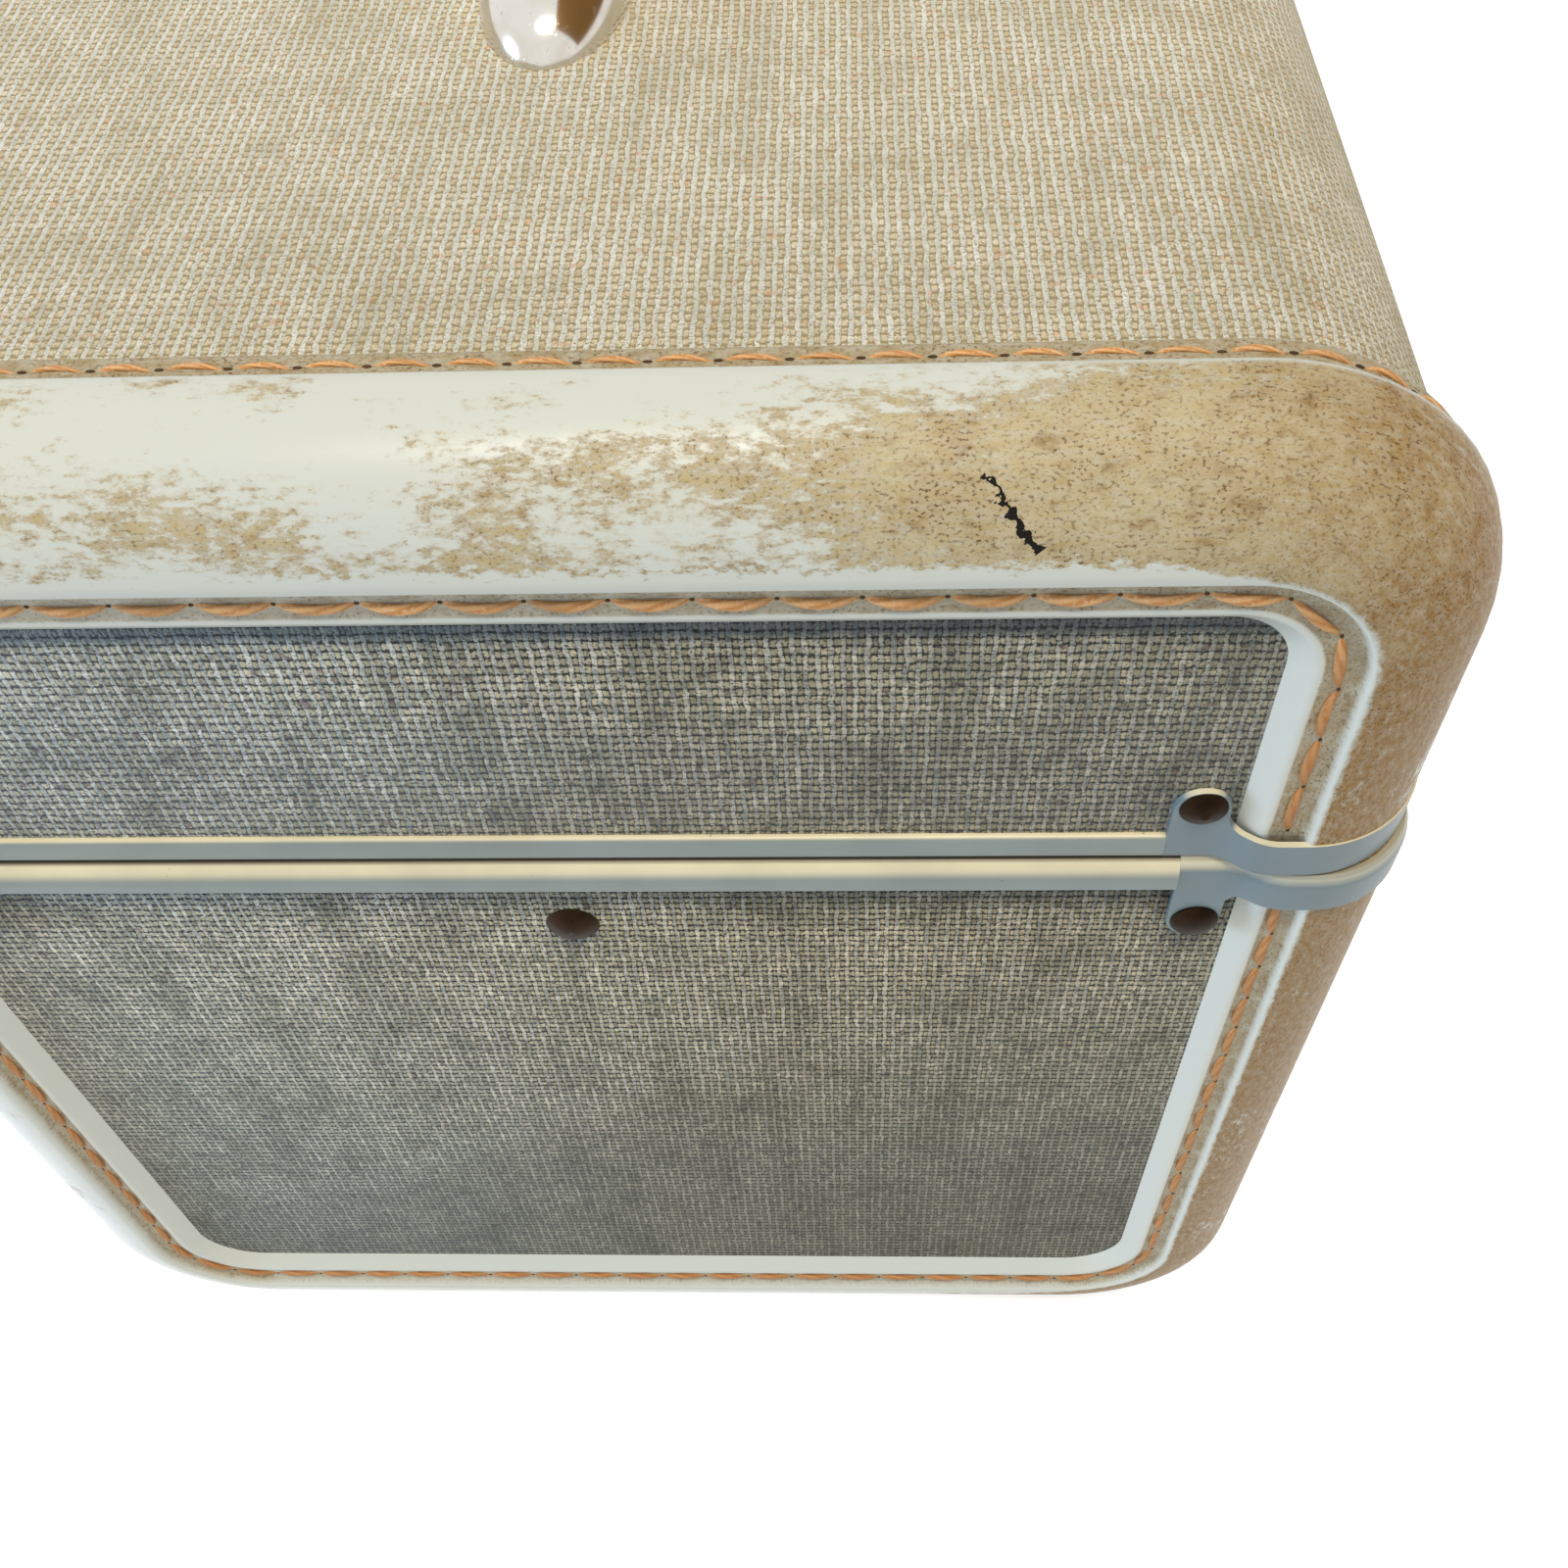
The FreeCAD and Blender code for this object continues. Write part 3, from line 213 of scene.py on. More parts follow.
def woven_tweed(name, warp, weft, gap, fleck, mottle, rim_strip_span, rib_break):
    """Ribbed tweed: matt cords with dark holes, slubs, flecks, fading and streaks, with painted shade
    darkening it towards the bottom, and a darker line under the rim, partly painted shade and partly cloth
    that faded less.
    """
    material, add, shader = start_material(name, roughness=0.9)
    feed(shader, {"Sheen Weight": 0.1, "Sheen Roughness": 0.5})
    cloth = add("UVMap", uv_map="Weave").outputs["UV"]
    wobble = add("TexNoise", {"Vector": cloth, "Scale": 1 / WOBBLE, "Detail": 3.0}, noise_dimensions="2D")
    shake = add("VectorMath SUBTRACT", [wobble.outputs["Color"], (0.5, 0.5, 0.5)])
    shift = add("VectorMath SCALE", {0: shake, "Scale": 0.55})
    count = add("VectorMath MULTIPLY_ADD", [cloth, (1 / THREAD,) * 3, shift])
    across = add("SeparateXYZ", [count]).outputs
    crowns = []
    for axis, cords, power in ((0, 2.0, 0.45), (1, 1.0, 0.8)):
        fine = add("Math MULTIPLY", [across[axis], cords])
        part = add("Math FRACT", [fine])
        angle = add("Math MULTIPLY_ADD", [part, math.pi, -math.pi / 2])
        crown = add("Math COSINE", [angle])
        crowns.append(add("Math POWER", [crown, power]))
    place_in_pair = add("Math FRACT", [across[0]])
    weft_up = add("Math GREATER_THAN", [place_in_pair, 0.5])
    height = weave_height(add, cloth, crowns, weft_up, rib_break)

    threads = []
    for own, run, colours, seed in ((0, 1, warp, 0.0), (1, 0, weft, 40.0)):
        whole = add("Math FLOOR", [across[own]])
        pick = add("Math MULTIPLY_ADD", [whole, 0.73, seed])
        slow = add("Math MULTIPLY", [across[run], 0.45])
        place = add("CombineXYZ", [pick, slow])
        slub = add("TexNoise", {"Vector": place, "Scale": 1.0, "Detail": 4.0, "Roughness": 0.75})
        spread = add("MapRange", [slub, 0.36, 0.64])
        threads.append(add("Mix", {0: spread, 6: colours[0], 7: colours[1]}, data_type="RGBA"))
    top = add("Mix", {0: weft_up, 6: threads[0], 7: threads[1]}, data_type="RGBA")
    spots = add("TexNoise", {"Vector": cloth, "Scale": 1 / FLECK, "Detail": 1.0}, noise_dimensions="2D")
    rare = add("MapRange", [spots, 0.70, 0.76, 0.0, 0.6])
    top = add("Mix", {0: rare, 6: top, 7: fleck}, data_type="RGBA")

    clouds = add("TexNoise", {"Vector": cloth, "Scale": 1 / FADED_PATCH, "Detail": 6.0, "Roughness": 0.7},
                 noise_dimensions="2D")
    faded = add("MapRange", [clouds, 0.42, 0.76, 0.0, 0.9])
    drawn = add("Mapping", {"Vector": cloth, "Scale": (1.0, 0.12, 1.0)})
    streaks = add("TexNoise", {"Vector": drawn, "Scale": 1 / STREAK, "Detail": 3.0}, noise_dimensions="2D")
    dark_streak = add("MapRange", [streaks, 0.5, 0.8, 0.0, 0.6])
    z = add("SeparateXYZ", [add("TexCoord").outputs["Object"]]).outputs[2]
    # Painted shade: the cloth is darkened towards the bottom of the case, where less light falls.
    painted_low_shade = add("MapRange", [z, LOW_SHADE_FROM, LOW_SHADE_TO, 0.0, 0.95])
    for share in (faded, dark_streak, painted_low_shade):
        top = add("Mix", {0: share, 6: top, 7: mottle}, data_type="RGBA", blend_type="MULTIPLY")
    # Painted shade and less faded cloth: a darker blue strip just under the lid's binding rim.
    rim_shade_and_less_faded = add("MapRange", [z, rim_strip_span[0], rim_strip_span[1], 0.0, 0.75], interpolation_type="SMOOTHSTEP")
    top = add("Mix", {0: rim_shade_and_less_faded, 6: top, 7: "#4d5c68"}, data_type="RGBA")
    open_weave = add("MapRange", [height, 0.08, 0.5])
    colour = add("Mix", {0: open_weave, 6: gap, 7: top}, data_type="RGBA")
    bump = add("Bump", {"Height": height, "Strength": 0.6, "Distance": WEAVE_RELIEF})
    feed(shader, {"Base Color": colour, "Normal": bump})
    return material


# Where the darker strip under the rim lies: painted shade under the overhang, and cloth there that faded
# less.
SHADED_LINE = (LID.cap - LID.rim - 3.4 * MM, LID.cap - LID.rim - 1.2 * MM)
NO_LINE = (LID.cap + MM, LID.cap + 2 * MM)
TWEED_END = woven_tweed("tweed on the end panels", ("#a8aca2", "#fff9e6"), ("#a19b82", "#f3e6c2"),
                        "#191d1e", "#7a565a", "#bec0b9", SHADED_LINE, rib_break=0.8)
TWEED_WRAP = woven_tweed("faded tweed on the wrap", ("#e6e2d2", "#fffbee"), ("#e4d1a6", "#fdf0d2"),
                         "#a5956f", "#f0b98c", "#e3e2da", NO_LINE, rib_break=0.25)
print("tweed at", round(25.4 * MM / THREAD), "ribs to the inch")

# %% [markdown]
# ## Moulded vinyl and its dirt
#
# The binding is extruded vinyl, pale grey and half glossy, with decades of hands on it. A single dirt
# texture would look like camouflage, so the dirt has a reason for each place: a brown film where the case
# was handled, which is the back corner and the underside of the roll, flaking at its edge and full of grit,
# soil in the stitch channels, and one black scuff. Dirt is also dull, so it raises the roughness wherever
# it lies. The two covers are worked out first, and the colour is then laid down in layers, as the dirt was.

# %% Where the dirt lies
FILM_BREAK = 9 * MM
FLAKE = 0.9 * MM
HANDLED_FROM, HANDLED_TO = 10 * MM, 82 * MM
RAGGED_FROM, RAGGED_TO = 64 * MM, 76 * MM
LEG_FROM, LEG_TO = 196 * MM, 180 * MM
SCUFF_MIDDLE = Vector((152.5, 50.1, 204.2)) * MM
SCUFF_TURN = math.atan2(-6.0, 4.9)
SCUFF_HALF_LENGTH = 4.1 * MM
SCUFF_HALF_WIDTH = 0.5 * MM
SHRED = 1.1 * MM


def film_cover(add, flakes, smeared, turn, y, z):
    """How thick handling alone would lay the film, and its share once its edges are wiped."""
    broad = add("TexNoise", {"Vector": smeared, "Scale": 1 / FILM_BREAK, "Detail": 3.0, "Roughness": 0.6})
    level = add("Math MULTIPLY_ADD", [flakes, 0.85, broad])
    for where, start, stop, most in ((y, HANDLED_FROM, HANDLED_TO, 0.45), (turn, 0.74, 0.4, 0.15),
                                     (z, LEG_FROM, LEG_TO, -0.16)):
        share = add("MapRange", [where, start, stop, 0.0, most], interpolation_type="SMOOTHSTEP")
        level = add("Math ADD", [level, share])
    film = add("MapRange", [level, 1.0, 1.22])
    ragged = add("MapRange", [y, RAGGED_FROM, RAGGED_TO, 0.3, 0.05])
    torn = add("Math MULTIPLY_ADD", [flakes, ragged, turn])
    wiped = add("MapRange", [y, RAGGED_FROM, RAGGED_TO, 0.25, 0.025])
    wiped = add("Math SUBTRACT", [torn, wiped])
    lower_edge = add("MapRange", [wiped, 0.0, 0.03])
    upper_edge = add("MapRange", [turn, 1.0, 0.97])
    for edge in (lower_edge, upper_edge):
        film = add("Math MULTIPLY", [film, edge])
    return level, film


def scuff_cover(add, place, x):
    """One on the black scuff, a short line with ragged sides on one end's roll, and zero elsewhere."""
    mark = add("Mapping", {"Vector": place, "Location": SCUFF_MIDDLE, "Rotation": (SCUFF_TURN, 0, 0)},
               vector_type="TEXTURE")
    along, aside = add("SeparateXYZ", [mark]).outputs[1:]
    shred = add("TexNoise", {"Vector": place, "Scale": 1 / SHRED, "Detail": 3.0})
    jagged = add("MapRange", [shred, 0.3, 0.7, -SCUFF_HALF_WIDTH, SCUFF_HALF_WIDTH])
    off = add("Math ADD", [aside, jagged])
    thick = add("MapRange", [along, -SCUFF_HALF_LENGTH, SCUFF_HALF_LENGTH,
                             0.3 * SCUFF_HALF_WIDTH, SCUFF_HALF_WIDTH])
    on_line = add("Math COMPARE", [off, 0.0, thick])
    in_reach = add("Math COMPARE", [along, 0.0, SCUFF_HALF_LENGTH])
    this_end = add("Math GREATER_THAN", [x, 0.0])
    scuff = add("Math MULTIPLY", [on_line, in_reach])
    return add("Math MULTIPLY", [scuff, this_end])


# %% Soiled vinyl
AGEING = 30 * MM
DIRT_CLOUD = 7 * MM
CRUST = 0.08 * MM
REAR_FROM, REAR_TO = 62 * MM, 96 * MM
LOWER_FROM, LOWER_TO = 200 * MM, 165 * MM
GRAINS = ((0.34 * MM, 0.545, 0.64, 0.85, "#5e401c"), (1.9 * MM, 0.55, 0.7, 0.55, "#87622a"))


def soiled_vinyl(name):
    """Moulded vinyl: smooth and half glossy where clean, with a dull tan film, grit, soil and a scuff."""
    material, add, shader = start_material(name, roughness=0.3)
    place = add("TexCoord").outputs["Object"]
    x, y, z = add("SeparateXYZ", [place]).outputs
    turn, groove = (add("Attribute", attribute_name=word).outputs["Fac"] for word in ("turn", "groove"))
    run = add("UVMap", uv_map="Moulding").outputs["UV"]
    smeared = add("Mapping", {"Vector": run, "Scale": (0.5, 1.0, 1.0)})
    gritty = add("Mapping", {"Vector": run, "Scale": (0.72, 1.0, 1.0)})
    flakes = add("TexNoise", {"Vector": smeared, "Scale": 1 / FLAKE, "Detail": 5.0, "Roughness": 0.7})
    cloud = add("TexNoise", {"Vector": place, "Scale": 1 / DIRT_CLOUD, "Detail": 6.0, "Roughness": 0.72})
    level, film = film_cover(add, flakes, smeared, turn, y, z)

    depth = cloud
    for where, start, stop, most in ((y, REAR_FROM, REAR_TO, 0.45), (z, LOWER_FROM, LOWER_TO, 0.5)):
        share = add("MapRange", [where, start, stop, 0.0, most])
        depth = add("Math ADD", [depth, share])
    depth = add("MapRange", [depth, 0.34, 1.05])
    tan = add("Mix", {0: depth, 6: "#cfbd8e", 7: "#9a6f20"}, data_type="RGBA")
    patchy = add("MapRange", [flakes, 0.3, 0.62, 0.6, 0.95])
    thin = add("Math MULTIPLY", [film, patchy])
    fringe = add("Math SUBTRACT", [level, 1.14])
    fringe = add("Math ABSOLUTE", [fringe])
    fringe = add("MapRange", [fringe, 0.07, 0.0, 0.0, 0.35])
    fringe = add("Math MULTIPLY", [fringe, film])
    caked = add("MapRange", [flakes, 0.3, 0.7, 0.4, 0.95])
    soil = add("Math MULTIPLY", [groove, caked])
    layers = [(thin, tan), (fringe, "#93713c"), (soil, "#a1864c")]

    soiled = add("Math MAXIMUM", [film, groove])
    gathered = add("MapRange", [cloud, 0.4, 0.62, 0.4, 1.0])
    speckled = add("Math MULTIPLY", [soiled, gathered])
    for size, lowest, highest, most, brown in GRAINS:
        grit = add("TexNoise", {"Vector": gritty, "Scale": 1 / size, "Detail": 2.0, "Roughness": 0.6})
        dark = add("MapRange", [grit, lowest, highest, 0.0, most])
        layers.append((add("Math MULTIPLY", [dark, speckled]), brown))
    layers.append((scuff_cover(add, place, x), "#191512"))

    aged = add("TexNoise", {"Vector": place, "Scale": 1 / AGEING, "Detail": 2.0})
    colour = add("Mix", {0: aged, 6: "#dbdfd6", 7: "#dfe0d0"}, data_type="RGBA")
    for share, tone in layers:
        colour = add("Mix", {0: share, 6: colour, 7: tone}, data_type="RGBA")
    rough = add("MapRange", [soiled, 0.0, 1.0, 0.25, 0.38])
    shine = add("MapRange", [soiled, 0.0, 1.0, 0.5, 0.12])
    crust = add("Math MULTIPLY", [flakes, film])
    bump = add("Bump", {"Height": crust, "Strength": 0.5, "Distance": CRUST})
    feed(shader, {"Base Color": colour, "Roughness": rough, "Specular IOR Level": shine, "Normal": bump})
    return material


VINYL = soiled_vinyl("moulded vinyl binding")
print("vinyl with", len(VINYL.node_tree.nodes), "nodes")

# %% [markdown]
# ## Paint, metal, thread and lining
#
# The other finishes are small areas, so each gets the one or two traits that the eye looks for: paint that
# is cream where it faces up, partly yellowed and partly painted light from above, bronze that has gone dark,
# plating with faint pits, thread with a visible twist, and a lining with the fine ribs of rayon taffeta.

# %% Painted sheet metal
SPLIT = (LID.mouth + BODY.mouth) / 2
STAIN = 12 * MM
CHIPPED = 2.2 * MM
SEAM_SHADE_START, SEAM_SHADE_DARKEST = 0.7 * MM, 0.45 * MM


def yellowed_and_toplit_paint(name, side, up, chip, seam):
    """Baked paint on sheet metal: satin, cream on faces that look up, partly yellowed paint and partly
    painted light from above, chipped in places, and painted shade at the split.
    """
    material, add, shader = start_material(name, roughness=0.34)
    place = add("TexCoord").outputs["Object"]
    z = add("SeparateXYZ", [place]).outputs[2]
    facing = add("SeparateXYZ", [add("NewGeometry").outputs["Normal"]]).outputs[2]
    first = add("MapRange", [z, SPLIT - 0.1 * MM, SPLIT + 0.1 * MM, 0.15, 0.55])
    last = add("Math ADD", [first, 0.42])
    # Painted light: faces that look up turn cream, partly yellowed paint and partly the warm light from
    # above.
    upward = add("MapRange", [facing, first, last], interpolation_type="SMOOTHSTEP")
    stain = add("TexNoise", {"Vector": place, "Scale": 1 / STAIN, "Detail": 4.0})
    tone = add("MapRange", [stain, 0.3, 0.7, 0.9, 1.08])
    paint = add("Mix", {0: upward, 6: side, 7: up}, data_type="RGBA")
    paint = add("VectorMath SCALE", {0: paint, "Scale": tone})
    nick = add("TexNoise", {"Vector": place, "Scale": 1 / CHIPPED, "Detail": 5.0, "Roughness": 0.7})
    worn = add("MapRange", [nick, 0.70, 0.73, 0.0, 0.8])
    paint = add("Mix", {0: worn, 6: paint, 7: chip}, data_type="RGBA")
    # Painted shade: a dark line along the gap where the lid's and the body's strips meet.
    from_split = add("Math SUBTRACT", [z, SPLIT])
    from_split = add("Math ABSOLUTE", [from_split])
    seam_shade = add("MapRange", [from_split, SEAM_SHADE_START, SEAM_SHADE_DARKEST, 0.0, seam])
    paint = add("Mix", {0: seam_shade, 6: paint, 7: "#4a3c29"}, data_type="RGBA")
    feed(shader, {"Base Color": paint})
    return material


BAND_PAINT = yellowed_and_toplit_paint("painted steel band", "#909a95", "#efe3be", "#6b5a3c", seam=0.85)
CLIP_PAINT = yellowed_and_toplit_paint("painted steel clip", "#77888c", "#e6dec0", "#8a6038", seam=0.3)
print("paint darkens at the split,", round(SPLIT / MM, 1), "mm up")

# %% Plated and dark metals
TARNISH = 6 * MM
PIT_DEPTH = 0.05 * MM


def pitted_metal(name, bright, dark, roughness, pit):
    """Plated or browned metal: one colour with slow tarnish, small pits and smears in its gloss."""
    material, add, shader = start_material(name, roughness, metallic=1.0)
    place = add("TexCoord").outputs["Object"]
    cloud = add("TexNoise", {"Vector": place, "Scale": 1 / TARNISH, "Detail": 4.0})
    tarnish = add("MapRange", [cloud, 0.4, 0.75])
    pits = add("TexNoise", {"Vector": place, "Scale": 1 / pit, "Detail": 3.0})
    deep = add("MapRange", [pits, 0.66, 0.74])
    spoiled = add("Math MAXIMUM", [tarnish, deep])
    colour = add("Mix", {0: spoiled, 6: bright, 7: dark}, data_type="RGBA")
    gloss = add("MapRange", [spoiled, 0.0, 1.0, roughness, min(1.0, roughness + 0.14)])
    bump = add("Bump", {"Height": deep, "Strength": 0.25, "Distance": PIT_DEPTH}, invert=True)
    feed(shader, {"Base Color": colour, "Roughness": gloss, "Normal": bump})
    return material


# The last size is that of the pits, which are drawn coarser than real ones so that they show.
CHROME = pitted_metal("chrome plate", "#e2ded6", "#cfc6b4", 0.1, 0.7 * MM)
NICKEL = pitted_metal("nickel plate", "#cfc9ba", "#9a8f78", 0.24, 0.8 * MM)
STEEL = pitted_metal("cold rolled steel", "#b4b2ac", "#8a8278", 0.36, 0.7 * MM)
BRONZE = pitted_metal("browned bronze", "#33251a", "#1c130b", 0.4, 0.6 * MM)
print("metals:", ", ".join(metal.name for metal in (CHROME, NICKEL, STEEL, BRONZE)))

# %% Thread, holes, lining, board and grip
STRANDS = 3.0
STRAND_SLANT = 3.2
# Loose fibres on the thread are too fine to show, so their fluff is drawn this coarse.
FLUFF = 0.4 * MM
THREAD_WEAR = 9 * MM
STRAND_RELIEF = 0.08 * MM
SLOW_TONE = 25 * MM
GRAIN_RELIEF = 0.15 * MM


def twisted_thread(name):
    """Waxed cotton thread: warm tan, matt, with the long slanting lines of its three strands, their crowns
    painted lighter and the grooves between them painted darker.
    """
    material, add, shader = start_material(name, roughness=0.65)
    place = add("TexCoord").outputs["Object"]
    z = add("SeparateXYZ", [place]).outputs[2]
    ply = add("UVMap", uv_map="Ply").outputs["UV"]
    around, along, _ = add("SeparateXYZ", [ply]).outputs
    strands = add("Math MULTIPLY", [around, STRANDS])
    slant = add("Math MULTIPLY_ADD", [along, STRAND_SLANT, strands])
    turn = add("Math MULTIPLY", [slant, 2 * math.pi])
    strand = add("Math SINE", [turn])
    # Painted highlight and shade: each strand's crown is lighter and the groove between strands darker.
    lit = add("MapRange", [strand, -1.0, 0.6])
    fluff = add("TexNoise", {"Vector": place, "Scale": 1 / FLUFF, "Detail": 2.0})
    pale = add("MapRange", [fluff, 0.5, 0.75, 0.0, 0.7])
    wear = add("TexNoise", {"Vector": place, "Scale": 1 / THREAD_WEAR, "Detail": 4.0})
    grime = add("MapRange", [wear, 0.45, 0.75, 0.0, 0.8])
    handled = add("MapRange", [z, LEG_FROM, LEG_TO, 0.0, 0.6])
    colour = add("Mix", {0: lit, 6: "#d08c49", 7: "#f3ba7b"}, data_type="RGBA")
    for share, tone in ((pale, "#f6d8ae"), (grime, "#b98a58"), (handled, "#a5662c")):
        colour = add("Mix", {0: share, 6: colour, 7: tone}, data_type="RGBA")
    bump = add("Bump", {"Height": lit, "Strength": 0.4, "Distance": STRAND_RELIEF})
    feed(shader, {"Base Color": colour, "Normal": bump})
    return material


def ribbed_or_grained(name, light, shade, size, stretch, roughness, strength):
    """A plain finish with one grain: ribs, fibres or leather-like pebbling, by the stretch of its noise."""
    material, add, shader = start_material(name, roughness)
    place = add("TexCoord").outputs["Object"]
    pulled = add("Mapping", {"Vector": place, "Scale": stretch})
    grain = add("TexNoise", {"Vector": pulled, "Scale": 1 / size, "Detail": 4.0, "Roughness": 0.6})
    slow = add("TexNoise", {"Vector": place, "Scale": 1 / SLOW_TONE, "Detail": 3.0})
    both = add("Math ADD", [grain, slow])
    blend = add("MapRange", [both, 0.75, 1.25])
    colour = add("Mix", {0: blend, 6: shade, 7: light}, data_type="RGBA")
    bump = add("Bump", {"Height": grain, "Strength": strength, "Distance": GRAIN_RELIEF})
    feed(shader, {"Base Color": colour, "Normal": bump})
    return material


EVEN, RIBBED, LAYERED = (1, 1, 1), (0.06, 0.06, 1.0), (0.3, 0.3, 1.0)
THREAD_WAX = twisted_thread("waxed cotton thread")
# Needle holes are dark plugs: some soil, and the painted shade inside each hole.
HOLE_SOIL_AND_SHADE = ribbed_or_grained("soil in a needle hole", "#5f4120", "#35240f", 0.5 * MM, EVEN, 0.9, 0.2)
# The ribs of taffeta are too fine to show, so they are drawn about twice as wide.
TAFFETA = ribbed_or_grained("rayon taffeta lining", "#a9b2b6", "#8a959c", 0.8 * MM, RIBBED, 0.42, 0.3)
BOARD = ribbed_or_grained("pressed board", "#a38660", "#6f5738", 1.5 * MM, LAYERED, 0.85, 0.4)
GRIP_VINYL = ribbed_or_grained("moulded vinyl grip", "#c6cac0", "#b4b8ad", 0.9 * MM, EVEN, 0.4, 0.35)
print(len(bpy.data.materials), "materials")

# %% [markdown]
# ## From bmesh to piece
#
# Every new mesh goes through the same door: its normals are made to face out, it is shaded smooth with
# sharp edges where two faces meet at a clear angle, it is hung on the body that carries it, and the solid it
# stands for is hidden.

# %% Piece helpers
SAME_POINT = 0.002 * MM
SAME_PLACE = 0.01 * MM


def make_piece(bm, name, body, material, stands_for=(), slot=None, sharp_deg=38.0, closed=True):
    """Turn a bmesh into an object at the origin that rides on a body."""
    if closed:
        bmesh.ops.recalc_face_normals(bm, faces=bm.faces)
    mesh = bpy.data.meshes.new(name)
    bm.to_mesh(mesh)
    bm.free()
    mesh.shade_smooth()
    mesh.set_sharp_from_angle(angle=math.radians(sharp_deg))
    mesh.materials.append(material)
    piece = bpy.data.objects.new(name, mesh)
    bpy.context.scene.collection.objects.link(piece)
    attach(piece, body)
    if stands_for:
        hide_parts(*stands_for)
    return piece


def stand_in(bm, node, word, material, **looks):
    """A piece that replaces one node, on the same body."""
    return make_piece(bm, f"{node}_{word}", carrier_of[node], material, [node], slot_of[node], **looks)


def soften(piece, width, segments=2, angle_deg=40.0):
    """Round every clear edge of a piece, as stamping or tumbling would."""
    bevel = piece.modifiers.new("Soft edges", "BEVEL")
    bevel.width, bevel.segments = width, segments
    bevel.limit_method, bevel.angle_limit = "ANGLE", math.radians(angle_deg)
    bevel.harden_normals = True


def welded(node):
    """A solid's mesh with its loose triangles joined up and its flat faces whole again."""
    bm = bmesh.new()
    bm.from_mesh(frame["nodes"][node].data)
    bmesh.ops.remove_doubles(bm, verts=bm.verts, dist=SAME_POINT)
    bmesh.ops.dissolve_limit(bm, angle_limit=math.radians(0.4), verts=bm.verts, edges=bm.edges)
    return bm


def islands(node):
    """The box of each separate solid in a node, as pairs of corners."""
    bm = welded(node)
    left = set(bm.verts)
    boxes = []
    while left:
        ring, found = [left.pop()], []
        while ring:
            vert = ring.pop()
            found.append(vert.co.copy())
            for edge in vert.link_edges:
                other = edge.other_vert(vert)
                if other in left:
                    left.discard(other)
                    ring.append(other)
        boxes.append([Vector(f(p[i] for p in found) for i in range(3)) for f in (min, max)])
    bm.free()
    return sorted(boxes, key=lambda box: tuple(round(c, 5) for c in box[0]))


def flat_face(bm, corners):
    """A new face with new corners."""
    return bm.faces.new([bm.verts.new(corner) for corner in corners])


def cut(bm, place, facing, clear=False):
    """Cut everything along a plane, and clear away what lies beyond it if asked to."""
    bmesh.ops.bisect_plane(bm, geom=[*bm.verts, *bm.edges, *bm.faces], plane_co=place, plane_no=facing,
                           clear_outer=clear)


def round_corners(bm, places, size, segments):
    """Round the corners of a flat outline that lie at the given places."""
    near = [v for v in bm.verts if any((v.co - p).length < SAME_PLACE for p in places)]
    bmesh.ops.bevel(bm, geom=near, offset=size, segments=segments, affect="VERTICES", profile=0.5,
                    material=-1)


def pour(part, bm):
    """Add a finished bmesh to a larger one, and free it."""
    mesh = bpy.data.meshes.new("part")
    part.to_mesh(mesh)
    part.free()
    bm.from_mesh(mesh)
    bpy.data.meshes.remove(mesh)


# %% [markdown]
# ## Carrying a section round an end
#
# Binding and cloth both follow the same U: up one side of the box, round a corner, across, round the other
# corner and down. The real binding is extruded straight and then bent. Spin does both: with an angle it
# turns a section about a centre, and with a step vector and no angle it pushes the section along, so one
# operator makes the path.

# %% The U-shaped path
TURN_STEPS = 14


def push(bm, geom, shift):
    """Push a section along a straight step and give back its far copy."""
    return bmesh.ops.spin(bm, geom=geom, cent=(0, 0, 0), axis=(1, 0, 0), dvec=shift, angle=0,
                          steps=1)["geom_last"]


def carry_round(bm, geom, half):
    """Push and turn a section that starts at the front of the mouth until it is at the mouth's back."""
    def turn(geom, centre_y):
        return bmesh.ops.spin(bm, geom=geom, cent=(0, centre_y, half.turn_z), axis=(1, 0, 0), dvec=(0, 0, 0),
                              angle=-half.way * math.pi / 2, steps=TURN_STEPS)["geom_last"]

    leg = Vector((0, 0, half.way * half.straight))
    geom = push(bm, geom, leg)
    geom = turn(geom, -half.turn_y)
    geom = push(bm, geom, Vector((0, 2 * half.turn_y, 0)))
    geom = turn(geom, half.turn_y)
    push(bm, geom, -leg)


def path_place(half, point):
    """How far along the U a point is, and how far out of the wrap it stands."""
    over = half.way * (point.z - half.turn_z)
    past = abs(point.y) - half.turn_y
    bend = CORNER * math.pi / 2
    whole = 2 * half.straight + 2 * bend + 2 * half.turn_y
    if over <= 0:
        along, out = half.straight + over, past - CORNER
    elif past <= 0:
        along, out = half.straight + bend - past, over - CORNER
    else:
        along = half.straight + CORNER * math.atan2(over, past)
        out = math.hypot(over, past) - CORNER
    return (along if point.y < 0 else whole - along), out


def path_point(half, along, out):
    """The point of the U at a distance along it and out of the wrap, with its outward direction."""
    bend = (CORNER + out) * math.pi / 2
    half_way = half.straight + bend + half.turn_y
    side = -1 if along < half_way else 1
    along = along if side < 0 else 2 * half_way - along
    if along < half.straight:
        return Vector((0, side * (HALF_DEPTH + out), half.mouth + half.way * along)), Vector((0, side, 0))
    if along < half.straight + bend:
        angle = (along - half.straight) / (CORNER + out)
        outward = Vector((0, side * math.cos(angle), half.way * math.sin(angle)))
        return Vector((0, side * half.turn_y, half.turn_z)) + outward * (CORNER + out), outward
    across = half_way - along
    return Vector((0, side * across, half.cap + half.way * out)), Vector((0, 0, half.way))


def path_length(half, out):
    return 2 * (half.straight + (CORNER + out) * math.pi / 2 + half.turn_y)


